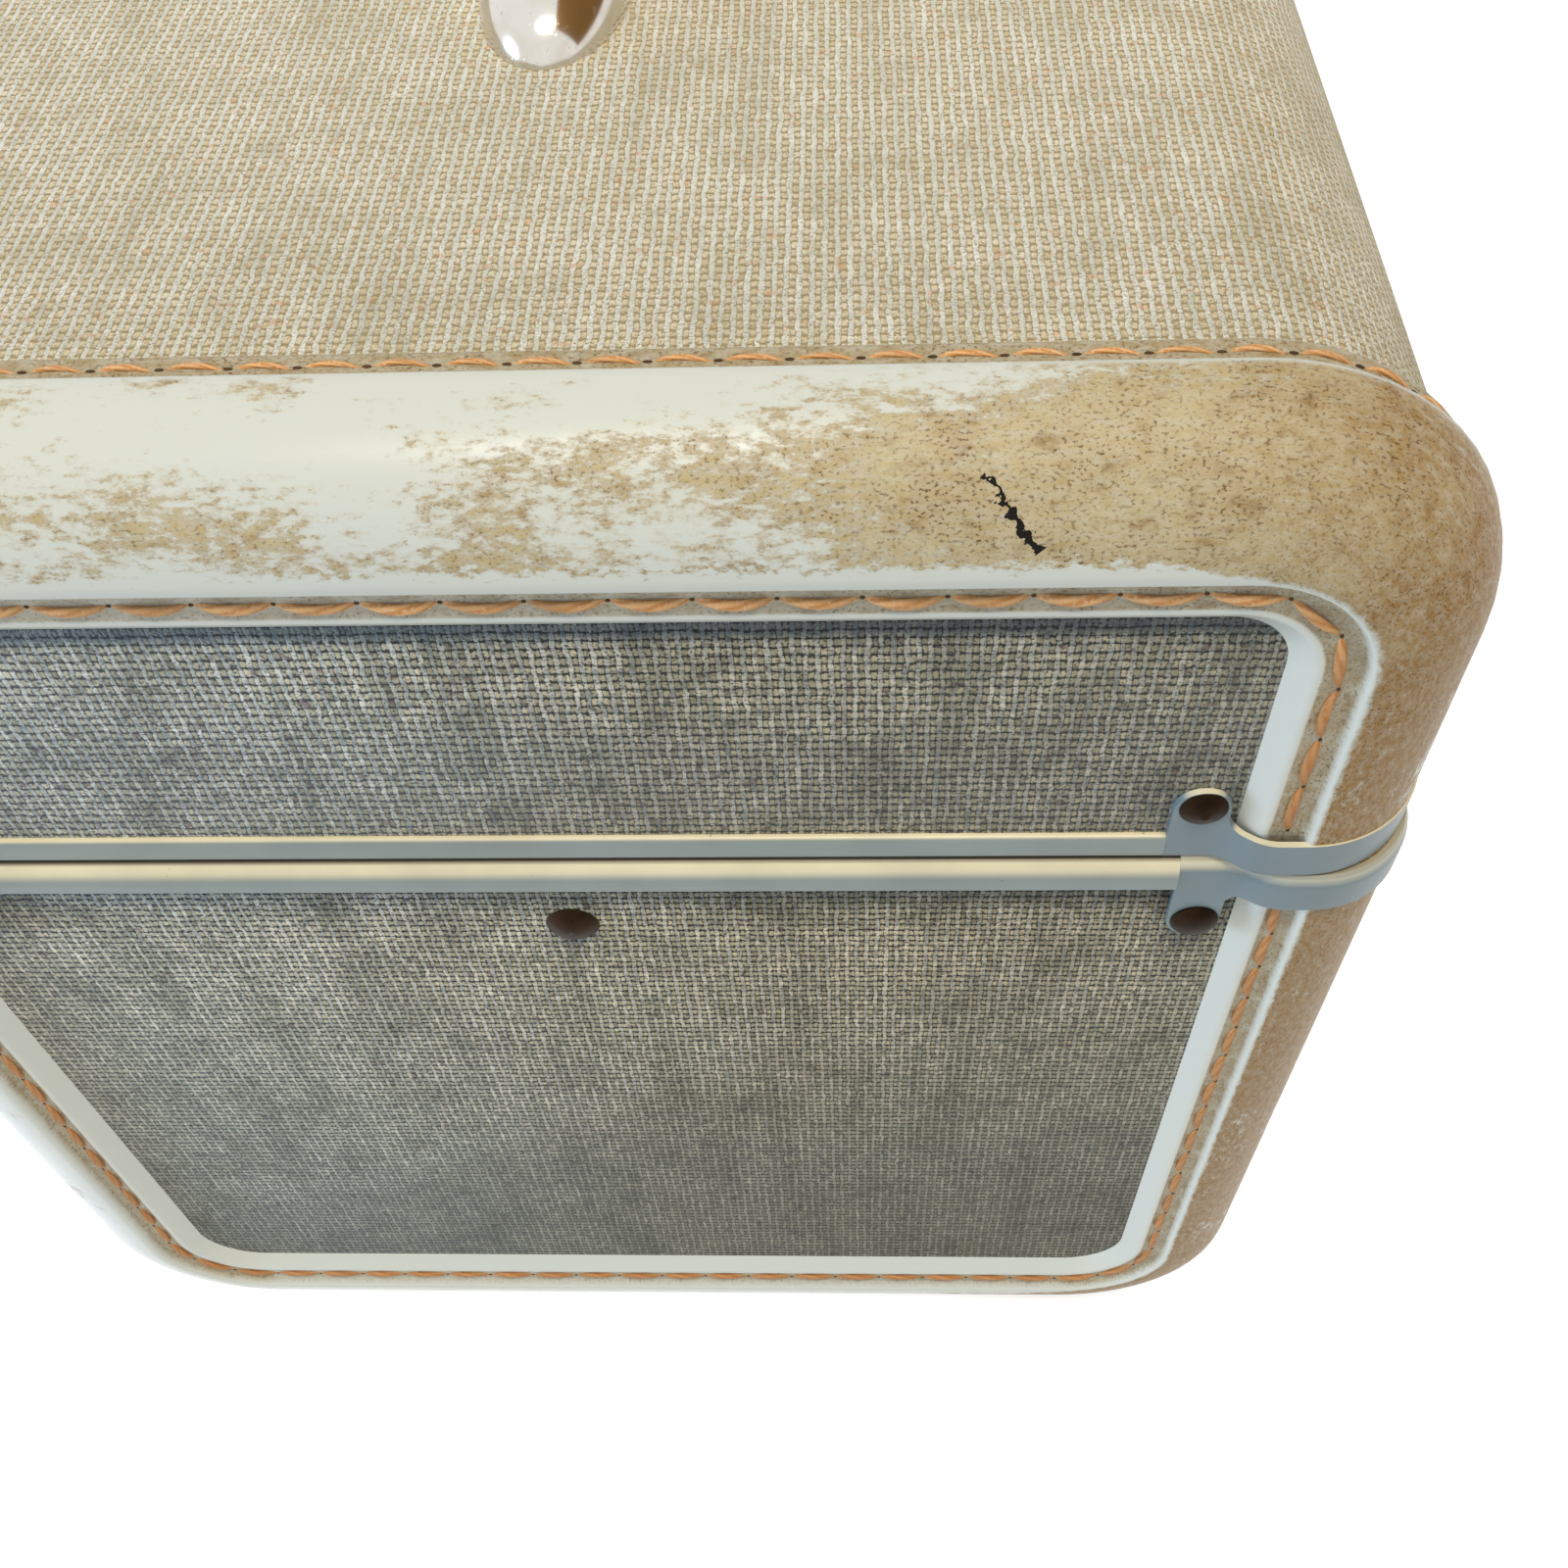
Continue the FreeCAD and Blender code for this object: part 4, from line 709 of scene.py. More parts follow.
for half in (LID, BODY):
    print(half.name, "binding runs", round(path_length(half, 0) / MM), "mm")

# %% [markdown]
# ## Bindings
#
# Each binding is one moulding: a flat flange with a stitch channel on the end, a fat roll over the box's
# edge, and a second stitched flange on the wrap. Its section needs only seventeen corners. Vertex bevels
# round them, the large one making the roll, and the section is then carried round the end. A curve with a
# profile could sweep it as well, but a mesh can be marked as it is made. Its map holds the distance along
# the moulding and round the roll, so that smears of dirt follow the piece, and a vertex attribute marks the
# stitch channels.

# %% Moulded bindings
FLANGE = 2.3 * MM
FLANGE_SLOPE = 2.7 * MM
CHANNEL_DIP = 0.4 * MM
CHANNEL_LIP = 0.9 * MM
STEP = 0.9 * MM
END_BROW = (0.25 * MM, 0.3 * MM)
WRAP_BROW = (0.3 * MM, 0.2 * MM)
KNEE_ROUND = 0.7 * MM
FOOT_ROUND = 0.35 * MM
ROLL_SHY = 0.02 * MM
MERGE_WITHIN = 0.05 * MM
END_SOIL = 0.5 * MM
WRAP_SOIL = 2.0 * MM
CLEAN_ROLL = 0.05 * MM
LEG_SOIL_SHARE = 0.9
CROSS_SOIL_SHARE = 0.55
ROLL_SEGMENTS = 18


def channel_span(half):
    """Where the stitch channels lie: across the end flange in v, and across the wrap flange in u."""
    on_end = (-half.rim + FLANGE_SLOPE + CHANNEL_LIP, -half.ridge - STEP)
    on_wrap = (half.toe_u + FLANGE_SLOPE + CHANNEL_LIP, half.roll_u - STEP)
    return on_end, on_wrap


def binding_section(bm, half, end):
    """The moulding's section at the front of the mouth, as one face with rounded corners."""
    on_end, on_wrap = channel_span(half)
    floor = FLANGE - CHANNEL_DIP
    knees = [(FLANGE, -half.rim + FLANGE_SLOPE), (half.toe_u + FLANGE_SLOPE, FLANGE)]
    feet = [(floor, on_end[0]), (floor, on_end[1]), (on_wrap[1], floor), (on_wrap[0], floor)]
    brows = [(ROLL_END - END_BROW[0], -half.ridge - END_BROW[1]),
             (half.roll_u - WRAP_BROW[0], ROLL_SIDE - WRAP_BROW[1])]
    hidden = [(-half.edge, 0), (-half.edge, -WALL), (-WALL, -half.edge), (0, -half.edge)]
    roll = [(ROLL_END, -half.ridge), (ROLL_END, ROLL_SIDE), (half.roll_u, ROLL_SIDE)]
    outline = [(0, -half.rim), knees[0], *feet[:2], brows[0], *roll, brows[1], *feet[2:], knees[1],
               (half.toe_u, 0), *hidden]

    def place(u, v):
        return Vector((end * (END_X + u), -HALF_DEPTH - v, half.mouth))

    flat_face(bm, [place(*corner) for corner in outline])
    round_corners(bm, [place(*roll[1])], half.roll - ROLL_SHY, ROLL_SEGMENTS)
    round_corners(bm, [place(*knee) for knee in knees], KNEE_ROUND, 4)
    round_corners(bm, [place(*foot) for foot in feet], FOOT_ROUND, 2)
    bmesh.ops.remove_doubles(bm, verts=bm.verts, dist=MERGE_WITHIN)
    return list(bm.faces)[0]


def mark_moulding(bm, half):
    """Write the moulding's map, its soiled channels, and how far each point is round the roll."""
    on_end, on_wrap = channel_span(half)
    groove = bm.verts.layers.float.new("groove")
    turn = bm.verts.layers.float.new("turn")
    chart = bm.loops.layers.uv.new("Moulding")
    for face in bm.faces:
        for loop in face.loops:
            point = loop.vert.co
            along, v = path_place(half, point)
            u = abs(point.x) - END_X
            angle = math.atan2(v + half.ridge, u - half.roll_u)
            loop[chart].uv = (along, half.roll * angle)
            loop.vert[turn] = angle / (math.pi / 2)
            in_end = u > FLANGE / 2 and on_end[0] - END_SOIL < v < on_end[1] + END_SOIL
            in_wrap = v > FLANGE / 2 and on_wrap[0] - WRAP_SOIL < u < half.roll_u - CLEAN_ROLL
            on_leg = abs(point.y) > half.turn_y
            end_soil = LEG_SOIL_SHARE if on_leg else CROSS_SOIL_SHARE
            loop.vert[groove] = end_soil if in_end else 1.0 if in_wrap else 0.0


for half in (LID, BODY):
    for word, end in ENDS.items():
        bm = bmesh.new()
        section = binding_section(bm, half, end)
        carry_round(bm, [section, *section.edges, *section.verts], half)
        mark_moulding(bm, half)
        node = f"{half.name}_binding_{word}"
        piece = stand_in(bm, node, "moulding", VINYL, sharp_deg=50.0)
        print(piece.name, len(piece.data.polygons), "faces")

# %% [markdown]
# ## Stitches
#
# Two rows of saddle stitching hold each binding. On the end flange the thread lies in long shallow arcs
# that sag away from the roll; on the wrap the stitches are shorter and thinner, they lean a little, and the
# needle holes between them are pulled into slits. One low-poly sphere is enough for a stitch: its two poles
# become the ends that dive into the needle holes, and each of its points is placed along the seam, so the
# stitches bend round the corners by themselves.

# %% Saddle stitches
CLIP_COVER = 6.6 * MM
WRAP_ROW_SHIFT = 0.4 * MM
HOLE_RADIUS = 0.24 * MM
HOLE_DEPTH = 0.3 * MM
HOLE_SUNK = 0.05 * MM
SLIT_ON_WRAP = 2.4
SLIT_ON_END = 1.3
HOLE_TAPER = 0.8
LENGTH_SPREAD, SAG_SPREAD, THREAD_SPREAD = (0.96, 1.04), (0.8, 1.2), (0.9, 1.08)
ARCH_RISE, END_SINK, FLATTENED = 0.9, 0.35, 0.8


def stitch_row(bm, holes, half, end, on_wrap, pitch, thread, reach, sag, lean, luck):
    """Stitches and needle holes along one seam of a binding."""
    on_end_span, on_wrap_span = channel_span(half)
    floor = FLANGE - CHANNEL_DIP
    out = floor if on_wrap else sum(on_end_span) / 2
    seam_x = end * (END_X + (sum(on_wrap_span) / 2 - WRAP_ROW_SHIFT if on_wrap else floor))
    stretch = SLIT_ON_WRAP if on_wrap else SLIT_ON_END
    usable = path_length(half, out) - 2 * CLIP_COVER
    count = round(usable / pitch)
    step = usable / count

    def seam(along, side, lift):
        point, outward = path_point(half, along, out)
        if on_wrap:
            return point + outward * lift + Vector((seam_x + end * side, 0, 0))
        return point + outward * side + Vector((seam_x + end * lift, 0, 0))

    for number in range(count):
        middle = CLIP_COVER + (number + 0.5) * step
        half_length = step * reach * luck.uniform(*LENGTH_SPREAD)
        droop = sag * luck.uniform(*SAG_SPREAD)
        thick = thread * luck.uniform(*THREAD_SPREAD)
        made = bmesh.ops.create_uvsphere(bm, u_segments=8, v_segments=8, radius=1.0, calc_uvs=True)
        for vert in made["verts"]:
            t, a, b = vert.co.z, vert.co.x, vert.co.y
            arch = 1 - t * t
            side = droop * arch + lean * t + a * thick
            lift = thread * (ARCH_RISE * arch - END_SINK) + b * thick * FLATTENED
            vert.co = seam(middle + t * half_length, side, lift)
    for number in range(count + 1):
        along = CLIP_COVER + number * step
        made = bmesh.ops.create_cone(holes, cap_ends=True, segments=7, radius1=HOLE_RADIUS,
                                     radius2=HOLE_TAPER * HOLE_RADIUS, depth=HOLE_DEPTH)
        centre = seam(along, 0.0, -HOLE_SUNK)
        facing = (seam(along, 0.0, MM) - centre).normalized()
        ahead = (seam(along + MM, 0.0, 0.0) - seam(along - MM, 0.0, 0.0)).normalized()
        slit = Matrix((ahead * stretch, facing.cross(ahead), facing)).transposed().to_4x4()
        bmesh.ops.transform(holes, verts=made["verts"], matrix=Matrix.Translation(centre) @ slit)
    return count


luck = random.Random(20)
for half in (LID, BODY):
    for word, end in ENDS.items():
        bm, holes = bmesh.new(), bmesh.new()
        bm.loops.layers.uv.new("Ply")
        end_count = stitch_row(bm, holes, half, end, False, pitch=8.0 * MM, thread=0.62 * MM, reach=0.51,
                               sag=-0.6 * MM, lean=0.0, luck=luck)
        wrap_count = stitch_row(bm, holes, half, end, True, pitch=6.6 * MM, thread=0.34 * MM, reach=0.42,
                                sag=-0.35 * MM, lean=0.15 * MM, luck=luck)
        make_piece(bm, f"{half.name}_stitches_{word}", half.body, THREAD_WAX, sharp_deg=180.0)
        make_piece(holes, f"{half.name}_needle_holes_{word}", half.body, HOLE_SOIL_AND_SHADE)
        print(half.name, word, end_count, "stitches on the end,", wrap_count, "on the wrap")

# %% [markdown]
# ## Cloth
#
# The cloth is glued flat to the boards, so it needs no simulation. What it needs is a map that follows it
# round the corners, because the weave is counted along the cloth. One edge carried round the U makes the
# wrap, and a four-cornered face with two corners rounded makes each end. A Solidify modifier gives both
# their real thickness.

# %% Cloth covers
def give_thickness(piece, thickness, offset):
    """Thicken a sheet, inwards where offset is -1 and outwards where it is 1."""
    solid = piece.modifiers.new("Thickness", "SOLIDIFY")
    solid.thickness, solid.offset = thickness, offset


def face_away(bm, inside):
    """Turn a sheet over if its faces look at an inside point."""
    bmesh.ops.recalc_face_normals(bm, faces=bm.faces)
    first = next(iter(bm.faces))
    if first.normal.dot(first.calc_center_median() - inside) < 0:
        bmesh.ops.reverse_faces(bm, faces=bm.faces)


def wrap_cover(half):
    """The cloth over the top or bottom and down the front and back."""
    bm = bmesh.new()
    reach = END_X - half.edge
    edge = bm.edges.new([bm.verts.new((side * reach, -HALF_DEPTH, half.mouth)) for side in (-1, 1)])
    carry_round(bm, [edge, *edge.verts], half)
    face_away(bm, Vector((0, 0, half.turn_z)))
    chart = bm.loops.layers.uv.new("Weave")
    for face in bm.faces:
        for loop in face.loops:
            loop[chart].uv = (path_place(half, loop.vert.co)[0], loop.vert.co.x)
    node = f"{half.name}_wrap_cloth"
    piece = stand_in(bm, node, "tweed", TWEED_WRAP, closed=False)
    give_thickness(piece, CLOTH, -1.0)


def end_covers(half):
    """The cloth on the two end panels."""
    bm = bmesh.new()
    reach = HALF_DEPTH - half.edge
    far = half.cap - half.way * half.edge
    for end in ENDS.values():
        corners = [Vector((end * END_X, y, z))
                   for y, z in ((-reach, half.mouth), (reach, half.mouth), (reach, far), (-reach, far))]
        flat_face(bm, corners)
        round_corners(bm, corners[2:], CORNER - half.edge, 10)
    for face in bm.faces:
        face.normal_update()
        if face.normal.x * face.calc_center_median().x < 0:
            face.normal_flip()
    chart = bm.loops.layers.uv.new("Weave")
    for face in bm.faces:
        for loop in face.loops:
            loop[chart].uv = (loop.vert.co.y, loop.vert.co.z)
    node = f"{half.name}_end_cloths"
    piece = stand_in(bm, node, "tweed", TWEED_END, closed=False)
    give_thickness(piece, CLOTH, -1.0)


for half in (LID, BODY):
    wrap_cover(half)
    end_covers(half)
print("cloth pitch", round(THREAD / MM, 2), "mm")

# %% [markdown]
# ## Closure bands
#
# Two painted steel strips meet at the split: a low one on the lid and a prouder one with a sloped ledge on
# the body. They are rolled from sheet, so every corner is round, but not all alike, as a bevelled box would
# have them. The solid's separate lengths say where each strip starts and stops; a section of four or five
# corners is rounded by vertex bevels and pushed along each length.

# %% Painted bands
BAND_LEDGE = 2.0 * MM
LEDGE_START = 0.4
LID_BAND_ROUNDS = [(2, 0.75 * MM, 4), (1, 0.3 * MM, 3)]
BODY_BAND_ROUNDS = [(2, 0.9 * MM, 4), (1, 0.35 * MM, 3), (3, 0.5 * MM, 3)]


def band_strip(bm, half, low, high):
    """One length of band between the corners of its solid's box."""
    centre = (low + high) / 2
    on_end = abs(centre.x) > END_X - MM
    sign = math.copysign(1, centre.x if on_end else centre.y)
    proud = (high.x - low.x) if on_end else (high.y - low.y)
    tall = high.z - low.z
    if half is LID:
        outline = [(0, 0), (proud, 0), (proud, tall), (0, tall)]
        rounds = LID_BAND_ROUNDS
    else:
        outline = [(0, 0), (proud * LEDGE_START, 0), (proud, BAND_LEDGE), (proud, tall), (0, tall)]
        rounds = BODY_BAND_ROUNDS

    def place(out, rise):
        z = half.mouth + half.way * rise
        if on_end:
            return Vector((sign * (END_X + out), low.y, z))
        return Vector((low.x, sign * (HALF_DEPTH + out), z))

    strip = bmesh.new()
    flat_face(strip, [place(*corner) for corner in outline])
    for index, size, segments in rounds:
        round_corners(strip, [place(*outline[index])], size, segments)
    shift = Vector((0, high.y - low.y, 0)) if on_end else Vector((high.x - low.x, 0, 0))
    section = list(strip.faces)[0]
    push(strip, [section, *section.edges, *section.verts], shift)
    bmesh.ops.recalc_face_normals(strip, faces=strip.faces)
    pour(strip, bm)


for half in (LID, BODY):
    for which in ("end_bands", "band_front", "band_back"):
        node = f"{half.name}_{which}"
        bm = bmesh.new()
        lengths = islands(node)
        for low, high in lengths:
            band_strip(bm, half, low, high)
        stand_in(bm, node, "painted", BAND_PAINT, sharp_deg=50.0)
        print(node, len(lengths), "lengths")

# %% [markdown]
# ## Corner clips
#
# A clip covers the cut ends of the binding where lid and body meet. It starts as a flat stamped blank: a
# strap with a round tab at each end. It is then bent up over the flange, round the roll and down again, so
# it is made the same way here. The blank is a flat face with rounded corners, sliced across by bisect
# planes so that it can bend, and each slice is carried to its place on the bend line. The body's clips also
# have a ledge pressed along one edge.

# %% Bent sheet clips
CLIP_SHEET = 0.8 * MM
CLIP_LEDGE = 2.0 * MM
CLIP_DIP = 0.2 * MM
PRESSED_IN = 0.55 * MM
STRAP_TUCK = 0.5
CLIP_GAP = 1.2 * MM
CLIP_CREST = 2.8 * MM
TAB_WIDTH = 6.7 * MM
STRAP_BEND = 1.5 * MM
TAB_FILLET = 2.2 * MM
TAB_ROUND = 0.49 * TAB_WIDTH
CLIP_EDGE = 0.18 * MM
LEDGE_CUTS = (0.15, 0.35, 0.6, 0.8, 1.0)
SLICE = 0.8 * MM
WELL_INSIDE = 40 * MM


def bend_line(half):
    """Points along a clip's inner face, from one tab to the other."""
    inner = half.tab_outer + TAB_WIDTH
    bm = bmesh.new()
    corners = [Vector((0, -inner, 0)), Vector((0, -half.rim - CLIP_GAP, 0)),
               Vector((ROLL_END, -half.rim + CLIP_CREST, 0)), Vector((ROLL_END, ROLL_SIDE, 0)),
               Vector((half.toe_u + CLIP_CREST, ROLL_SIDE, 0)), Vector((half.toe_u - CLIP_GAP, 0, 0)),
               Vector((-inner, 0, 0))]
    anchor = Vector((-inner, -inner, 0))
    flat_face(bm, [*corners, anchor])
    round_corners(bm, [corners[3]], half.roll, 26)
    for index in (1, 2, 4, 5):
        round_corners(bm, [corners[index]], STRAP_BEND, 5)
    around = [vert.co.copy() for vert in list(bm.faces)[0].verts]
    bm.free()
    turned = around.index(min(around, key=lambda p: (p - anchor).length))
    points = around[turned + 1:] + around[:turned]
    if (points[0] - corners[0]).length > (points[-1] - corners[0]).length:
        points.reverse()
    return points


def bend_place(points, distance):
    """The point at a distance along the bend line, and the direction out of the sheet there."""
    for here, there in zip(points, points[1:]):
        run = (there - here).length
        if distance <= run or there is points[-1]:
            ahead = (there - here).normalized()
            return here + ahead * distance, Vector((ahead.y, -ahead.x, 0))
        distance -= run


def clip_blank(half, length):
    """The flat blank: s along the strap, h away from the split, sliced so that it can bend."""
    bm = bmesh.new()
    far_tab = length - TAB_WIDTH
    outline = [(0, 0), (length, 0), (length, half.tab), (far_tab, half.tab), (far_tab, half.strap),
               (TAB_WIDTH, half.strap), (TAB_WIDTH, half.tab), (0, half.tab)]
    corners = [Vector((s, h, 0)) for s, h in outline]
    flat_face(bm, corners)
    round_corners(bm, [corners[i] for i in (2, 3, 6, 7)], TAB_ROUND, 8)
    round_corners(bm, [corners[i] for i in (4, 5)], TAB_FILLET, 6)
    cuts = [(Vector((s * SLICE, 0, 0)), Vector((1, 0, 0))) for s in range(1, int(length / SLICE) + 1)]
    if half is BODY:
        cuts += [(Vector((0, CLIP_LEDGE * share, 0)), Vector((0, 1, 0))) for share in LEDGE_CUTS]
    for centre, facing in cuts:
        cut(bm, centre, facing)
    return bm


def add_clip(bm, half, end, side):
    """One clip, bent from its blank and pressed on to the roll."""
    points = bend_line(half)
    length = sum((b - a).length for a, b in zip(points, points[1:]))
    inner = half.tab_outer + TAB_WIDTH
    end_foot, end_climb = inner - half.rim - CLIP_GAP, math.hypot(ROLL_END, CLIP_GAP + CLIP_CREST)
    wrap_foot, wrap_climb = inner + half.toe_u - CLIP_GAP, math.hypot(ROLL_SIDE, CLIP_GAP + CLIP_CREST)
    blank = clip_blank(half, length)
    for vert in blank.verts:
        s, h = vert.co.x, vert.co.y
        point, outward = bend_place(points, s)
        climbed = min((s - end_foot) / end_climb, (length - s - wrap_foot) / wrap_climb, 1.0)
        lift = -PRESSED_IN * max(climbed, 0.0)
        if half is BODY:
            rise = half.clip_lift * (1 - STRAP_TUCK * max(climbed, 0.0))
            lift += (rise + CLIP_DIP) * math.sin(math.pi / 2 * min(h / CLIP_LEDGE, 1.0)) - CLIP_DIP
        u, v = (point + outward * lift).xy
        vert.co = Vector((end * (END_X + u), side * (HALF_DEPTH + v), half.mouth + half.way * h))
    face_away(blank, Vector((end * (END_X - WELL_INSIDE), side * (HALF_DEPTH - WELL_INSIDE), half.mouth)))
    pour(blank, bm)


for half in (LID, BODY):
    for word, end in ENDS.items():
        bm = bmesh.new()
        for side in SIDES.values():
            add_clip(bm, half, end, side)
        node = f"{half.name}_clips_{word}"
        piece = stand_in(bm, node, "bent", CLIP_PAINT, closed=False)
        give_thickness(piece, CLIP_SHEET, 1.0)
        soften(piece, CLIP_EDGE, segments=2, angle_deg=55.0)
        print(piece.name, len(piece.data.polygons), "faces before thickness")

# %% [markdown]
# ## Rivets
#
# The dark rivets are the case's punctuation. Each head is a low dome with a small flat rim. A flattened
# sphere would give the dome but not the rim, which catches the light, so a short profile is spun once round
# its axis, as on a lathe. The frame says where each rivet sits.

# %% Rivet heads
RIVET_RIM = 0.25 * MM
RIVET_SHANK = 1.2 * MM
DOME_RISE = 0.45
DOME_SHARE = 0.96
DOME_DEGREES = (10, 25, 40, 55, 70, 82)
NEAR_END = 6 * MM
OFF_CORNER = 10 * MM
LONG_IN_X = 4 * MM


def add_rivet(bm, seat, outward, radius, rise, length):
    """A domed head with a thin rim, its shank and a flat tail."""
    profile = [(0, -length), (RIVET_SHANK, -length), (RIVET_SHANK, 0), (radius, 0), (radius, RIVET_RIM)]
    dome = [(radius * DOME_SHARE * math.cos(a), RIVET_RIM + (rise - RIVET_RIM) * math.sin(a))
            for a in map(math.radians, DOME_DEGREES)]
    verts = [bm.verts.new((r, 0, h)) for r, h in [*profile, *dome, (0, rise)]]
    edges = [bm.edges.new(pair) for pair in zip(verts, verts[1:])]
    before = set(bm.verts) - set(verts)
    bmesh.ops.spin(bm, geom=[*verts, *edges], cent=(0, 0, 0), axis=(0, 0, 1), dvec=(0, 0, 0),
                   angle=2 * math.pi, steps=28, use_merge=True)
    made = [v for v in bm.verts if v not in before]
    turn = outward.to_track_quat("Z", "Y").to_matrix().to_4x4()
    bmesh.ops.transform(bm, verts=made, matrix=Matrix.Translation(seat) @ turn)


def rivet_group(node, material):
    """Replace a node of rivets by turned ones at the same seats."""
    bm = bmesh.new()
    for low, high in islands(node):
        centre = (low + high) / 2
        size = high - low
        near_end = abs(centre.x) > END_X - NEAR_END and abs(centre.y) < HALF_DEPTH - OFF_CORNER
        on_end = near_end and size.x > LONG_IN_X
        axis = Vector((centre.x, 0, 0)) if on_end else Vector((0, centre.y, 0))
        outward = axis.normalized()
        radius = size.z / 2
        rise = DOME_RISE * radius
        tip = max(low.dot(outward), high.dot(outward))
        seat = centre + outward * (tip - rise - centre.dot(outward))
        length = (size.x if on_end else size.y) - rise
        add_rivet(bm, seat, outward, radius, rise, length)
    bmesh.ops.remove_doubles(bm, verts=bm.verts, dist=SAME_POINT)
    stand_in(bm, node, "turned", material, sharp_deg=40.0)


for node in ("lid_clip_rivets", "body_clip_rivets"):
    rivet_group(node, BRONZE)
for node in ("hinge_lid_rivets", "hinge_body_rivets", "strike_rivets", "latch_case_rivets"):
    rivet_group(node, NICKEL)
print("rivets turned")

# %% [markdown]
# ## Handle mounts
#
# Each end of the handle turns in a chromed bullet-nosed dome. A sphere stretched along the handle's line
# gives the nose; it is cut in half, its open rim is pulled back to the mount's inner end, and a last cut
# lays it on the cloth. The sphere's even faces matter here, because a mirror finish shows every dent.

# %% Bullet mounts
MOUNT_NOSE = 18 * MM
MOUNT_EDGE = 0.5 * MM


def open_rim(bm):
    return [edge for edge in bm.edges if edge.is_boundary]


def bullet_mount(word, end):
    """One mount: half a stretched sphere for the nose and a straight length behind it."""
    node = f"handle_mount_{word}"
    low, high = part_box(node)
    width, foot = high.y, low.z
    tip, inner = (high.x, low.x) if end > 0 else (low.x, high.x)
    middle = Vector((tip - end * MOUNT_NOSE, 0, high.z - width))
    bm = bmesh.new()
    bmesh.ops.create_uvsphere(bm, u_segments=48, v_segments=40, radius=1.0)
    bmesh.ops.rotate(bm, verts=bm.verts, cent=(0, 0, 0), matrix=Matrix.Rotation(math.pi / 2, 3, "Y"))
    bmesh.ops.scale(bm, verts=bm.verts, vec=(MOUNT_NOSE, width, width))
    bmesh.ops.translate(bm, verts=bm.verts, vec=middle)
    cut(bm, middle, (-end, 0, 0), clear=True)
    pulled = bmesh.ops.extrude_edge_only(bm, edges=open_rim(bm))["geom"]
    bmesh.ops.translate(bm, verts=[v for v in pulled if isinstance(v, bmesh.types.BMVert)],
                        vec=(inner - middle.x, 0, 0))
    bmesh.ops.holes_fill(bm, edges=open_rim(bm), sides=0)
    cut(bm, (0, 0, foot), (0, 0, -1), clear=True)
    bmesh.ops.holes_fill(bm, edges=open_rim(bm), sides=0)
    piece = stand_in(bm, node, "dome", CHROME, sharp_deg=50.0)
    soften(piece, MOUNT_EDGE, segments=3, angle_deg=60.0)
    print(piece.name, len(piece.data.polygons), "faces")


for word, end in ENDS.items():
    bullet_mount(word, end)

# %% [markdown]
# ## Fittings with softened edges
#
# Hinges, latches, stays, handle and feet have the right shape already, but a solid's edges are perfectly
# sharp and no stamped or cast metal is. Each is copied, its triangles are welded into whole faces again,
# and a small bevel rounds the edges, so that they catch the light. Boards and linings keep their solid and
# only get a finish. The two leaf springs inside the latches are softened the same way and get a mesh of
# their own.

# %% Stamped, turned and moulded fittings
FITTINGS = [
    (("hinge_lid_leaf", "hinge_body_leaf", "latch_strike"), CHROME, 0.3 * MM),
    (("latch_case",), CHROME, 0.45 * MM),
    (("latch_button",), CHROME, 0.25 * MM),
    (("handle_leg",), CHROME, 0.4 * MM),
    (("stay_arm", "hinge_pin"), STEEL, 0.2 * MM),
    (("stay_stud",), BRONZE, 0.25 * MM),
]
SINGLES = [("stay_pivots", BRONZE, 0.25 * MM), ("handle_grip", GRIP_VINYL, 1.0 * MM),
           ("glide_feet", NICKEL, 0.5 * MM), ("handle_mount_nuts", STEEL, 0.3 * MM)]


def softened(node, material, width):
    """A copy of a node's solid with its edges rounded."""
    piece = stand_in(welded(node), node, "finished", material, sharp_deg=30.0)
    soften(piece, width, segments=3, angle_deg=35.0)
    return piece


for names, material, width in FITTINGS:
    for name in names:
        for word in ENDS:
            softened(f"{name}_{word}", material, width)
for node, material, width in SINGLES:
    softened(node, material, width)

LEAF_EDGE = 0.1 * MM
for word in ENDS:
    node = f"latch_spring_{word}"
    leaf = softened(node, STEEL, LEAF_EDGE)
    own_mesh(leaf)

PLAIN = {"board": BOARD, "lining_cloth": TAFFETA}
for node, solid in frame["nodes"].items():
    if not solid.hide_render:
        solid.data.materials.clear()
        solid.data.materials.append(PLAIN[slot_of[node]])
        print("kept", node)

# %% [markdown]
# ## Floor, light and camera
#
# The case stands on a pale floor in plain light: a warm lamp overhead, whose reflection makes the highlight
# on the roll, a large cool window on the latch side that picks out every bevel facing it, and an even sky.
# The floor and the sky look white to the camera, and light the case at a plain level. In a white room
# chrome would look like white paint, so a brown card that only reflections see gives it something dark to
# show. The camera stands where the photographer stood, close to one end and above it, looking down.

# %% Floor, sky and card
def seen_directly(add):
    """One for rays that show a surface to the camera, also through a reflection, and zero for its light."""
    path = add("LightPath").outputs
    seen = path["Is Camera Ray"]
    for kind in ("Is Glossy Ray", "Is Transmission Ray"):
        seen = add("Math MAXIMUM", [seen, path[kind]])
    return seen


def stage_square(name, size, material, matrix):
    """A square of the stage, such as a floor or a card."""
    bm = bmesh.new()
    bmesh.ops.create_grid(bm, x_segments=1, y_segments=1, size=size / 2)
    bmesh.ops.transform(bm, verts=bm.verts, matrix=matrix)
    mesh = bpy.data.meshes.new(name)
    bm.to_mesh(mesh)
    bm.free()
    mesh.materials.append(material)
    square = bpy.data.objects.new(name, mesh)
    bpy.context.scene.collection.objects.link(square)
    return square


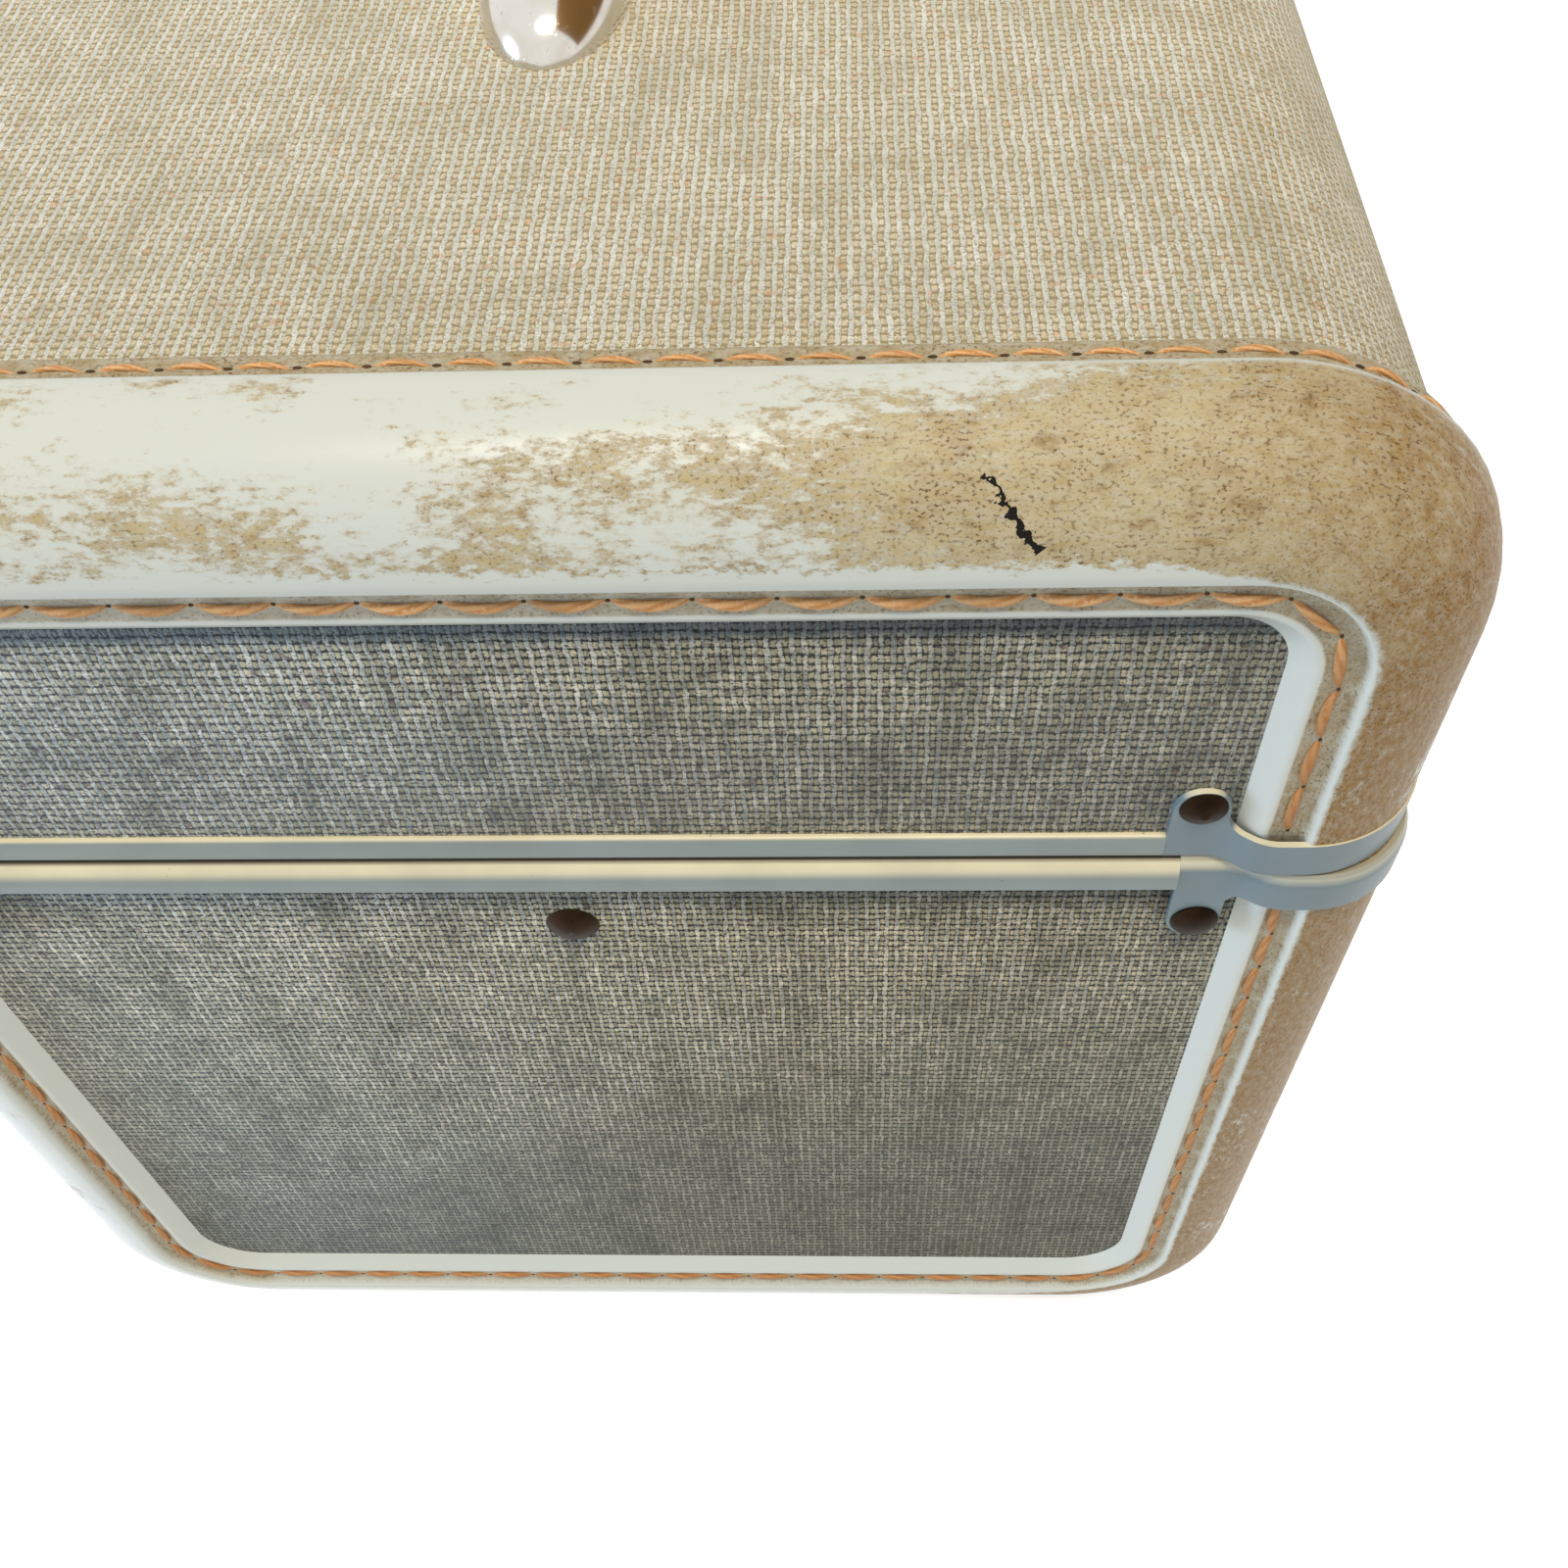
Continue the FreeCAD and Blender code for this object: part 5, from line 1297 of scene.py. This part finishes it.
def stage_floor(size, glow):
    """A pale floor that looks white, and lights the case no more than a pale floor does."""
    material, add, shader = start_material("pale floor", roughness=0.9)
    glowing = add("Math MULTIPLY", [seen_directly(add), glow])
    feed(shader, {"Base Color": "#e6e5e2", "Emission Color": "#ffffff", "Emission Strength": glowing})
    floor = stage_square("floor", size, material, Matrix())
    floor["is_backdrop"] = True


def stage_sky(strength):
    """An even sky that looks white, and lights the case at the given strength."""
    world = bpy.data.worlds.new("plain sky")
    bpy.context.scene.world = world
    world.use_nodes = True
    add = partial(add_node, world.node_tree)
    seen = seen_directly(add)
    power = add("MapRange", [seen, 0.0, 1.0, strength, 1.0])
    tint = add("Mix", {0: seen, 6: "#e4eefc", 7: "#ffffff"}, data_type="RGBA")
    feed(world.node_tree.nodes["Background"], {"Color": tint, "Strength": power})


def stage_card(place, target, size, colour):
    """A studio card that only reflections see."""
    material, _, shader = start_material("brown card", roughness=0.8)
    feed(shader, {"Base Color": colour})
    facing = (target - place).to_track_quat("Z", "Y").to_matrix().to_4x4()
    card = stage_square("brown_card", size, material, Matrix.Translation(place) @ facing)
    card.visible_camera = card.visible_diffuse = card.visible_shadow = False
    card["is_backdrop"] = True


stage_floor(size=8.0, glow=0.62)
stage_sky(strength=0.46)
CARD = Vector((-0.1, 0.7, 0.8))
HANDLE_MOUNT = Vector((0.07, 0.0, 0.21))
stage_card(CARD, HANDLE_MOUNT, size=1.1, colour="#9a6a2a")
print("stage set")

# %% Lamps
def stage_lamp(name, place, target, size, level, colour):
    """An area lamp that gives a facing surface at the target the given share of full light."""
    lamp = bpy.data.lights.new(name, "AREA")
    lamp.shape, (lamp.size, lamp.size_y) = "ELLIPSE", size
    away = place - target
    lamp.energy = level * math.pi ** 2 * away.length_squared
    lamp.color = linear(colour)[:3]
    holder = bpy.data.objects.new(name, lamp)
    holder.location = place
    holder.rotation_euler = away.to_track_quat("Z", "Y").to_euler()
    bpy.context.scene.collection.objects.link(holder)
    print(name, round(away.length, 2), "m from what it lights")


ROLL_SHINE = Vector((0.148, 0.042, 0.209))
OVERHEAD = Vector((0.29, 0.04, 0.96))
LAMP_AWAY = 1.3
WINDOW = Vector((0.32, -1.5, 0.3))
BACK_CORNER = Vector((0.14, 0.08, 0.17))
stage_lamp("warm lamp", ROLL_SHINE + OVERHEAD * LAMP_AWAY, ROLL_SHINE, size=(0.9, 0.4), level=0.66,
           colour="#fff2dc")
stage_lamp("cool window", WINDOW, BACK_CORNER, size=(0.7, 0.7), level=0.66, colour="#afd1f8")
bpy.context.scene.view_settings.view_transform = "Standard"

# %% Camera
IMAGE = 1600
FOCAL_PIXELS = 1648.7
CAMERA_PLACE = Vector((0.26063, 0.03545, 0.30616))
PITCH, YAW, ROLL = (math.radians(a) for a in (52.67, 3.99, -3.54))

ahead = Vector((-math.cos(PITCH) * math.cos(YAW), -math.cos(PITCH) * math.sin(YAW), -math.sin(PITCH)))
level = ahead.cross(Vector((0, 0, 1))).normalized()
upward = level.cross(ahead)
facing = Matrix((level, upward, -ahead)).transposed().to_4x4()
camera = bpy.data.objects.new("camera", bpy.data.cameras.new("camera"))
camera.data.sensor_width = 36.0
camera.data.lens = camera.data.sensor_width * FOCAL_PIXELS / IMAGE
camera.data.clip_start = 0.01
camera.matrix_world = Matrix.Translation(CAMERA_PLACE) @ facing @ Matrix.Rotation(ROLL, 4, "Z")
bpy.context.scene.collection.objects.link(camera)
bpy.context.scene.camera = camera
print("camera at", [round(c, 3) for c in CAMERA_PLACE], "lens", round(camera.data.lens, 1), "mm")

# %% Sizes, and the end
low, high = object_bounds()
print("visual box", [round((b - a) / MM, 1) for a, b in zip(low, high)], "mm")
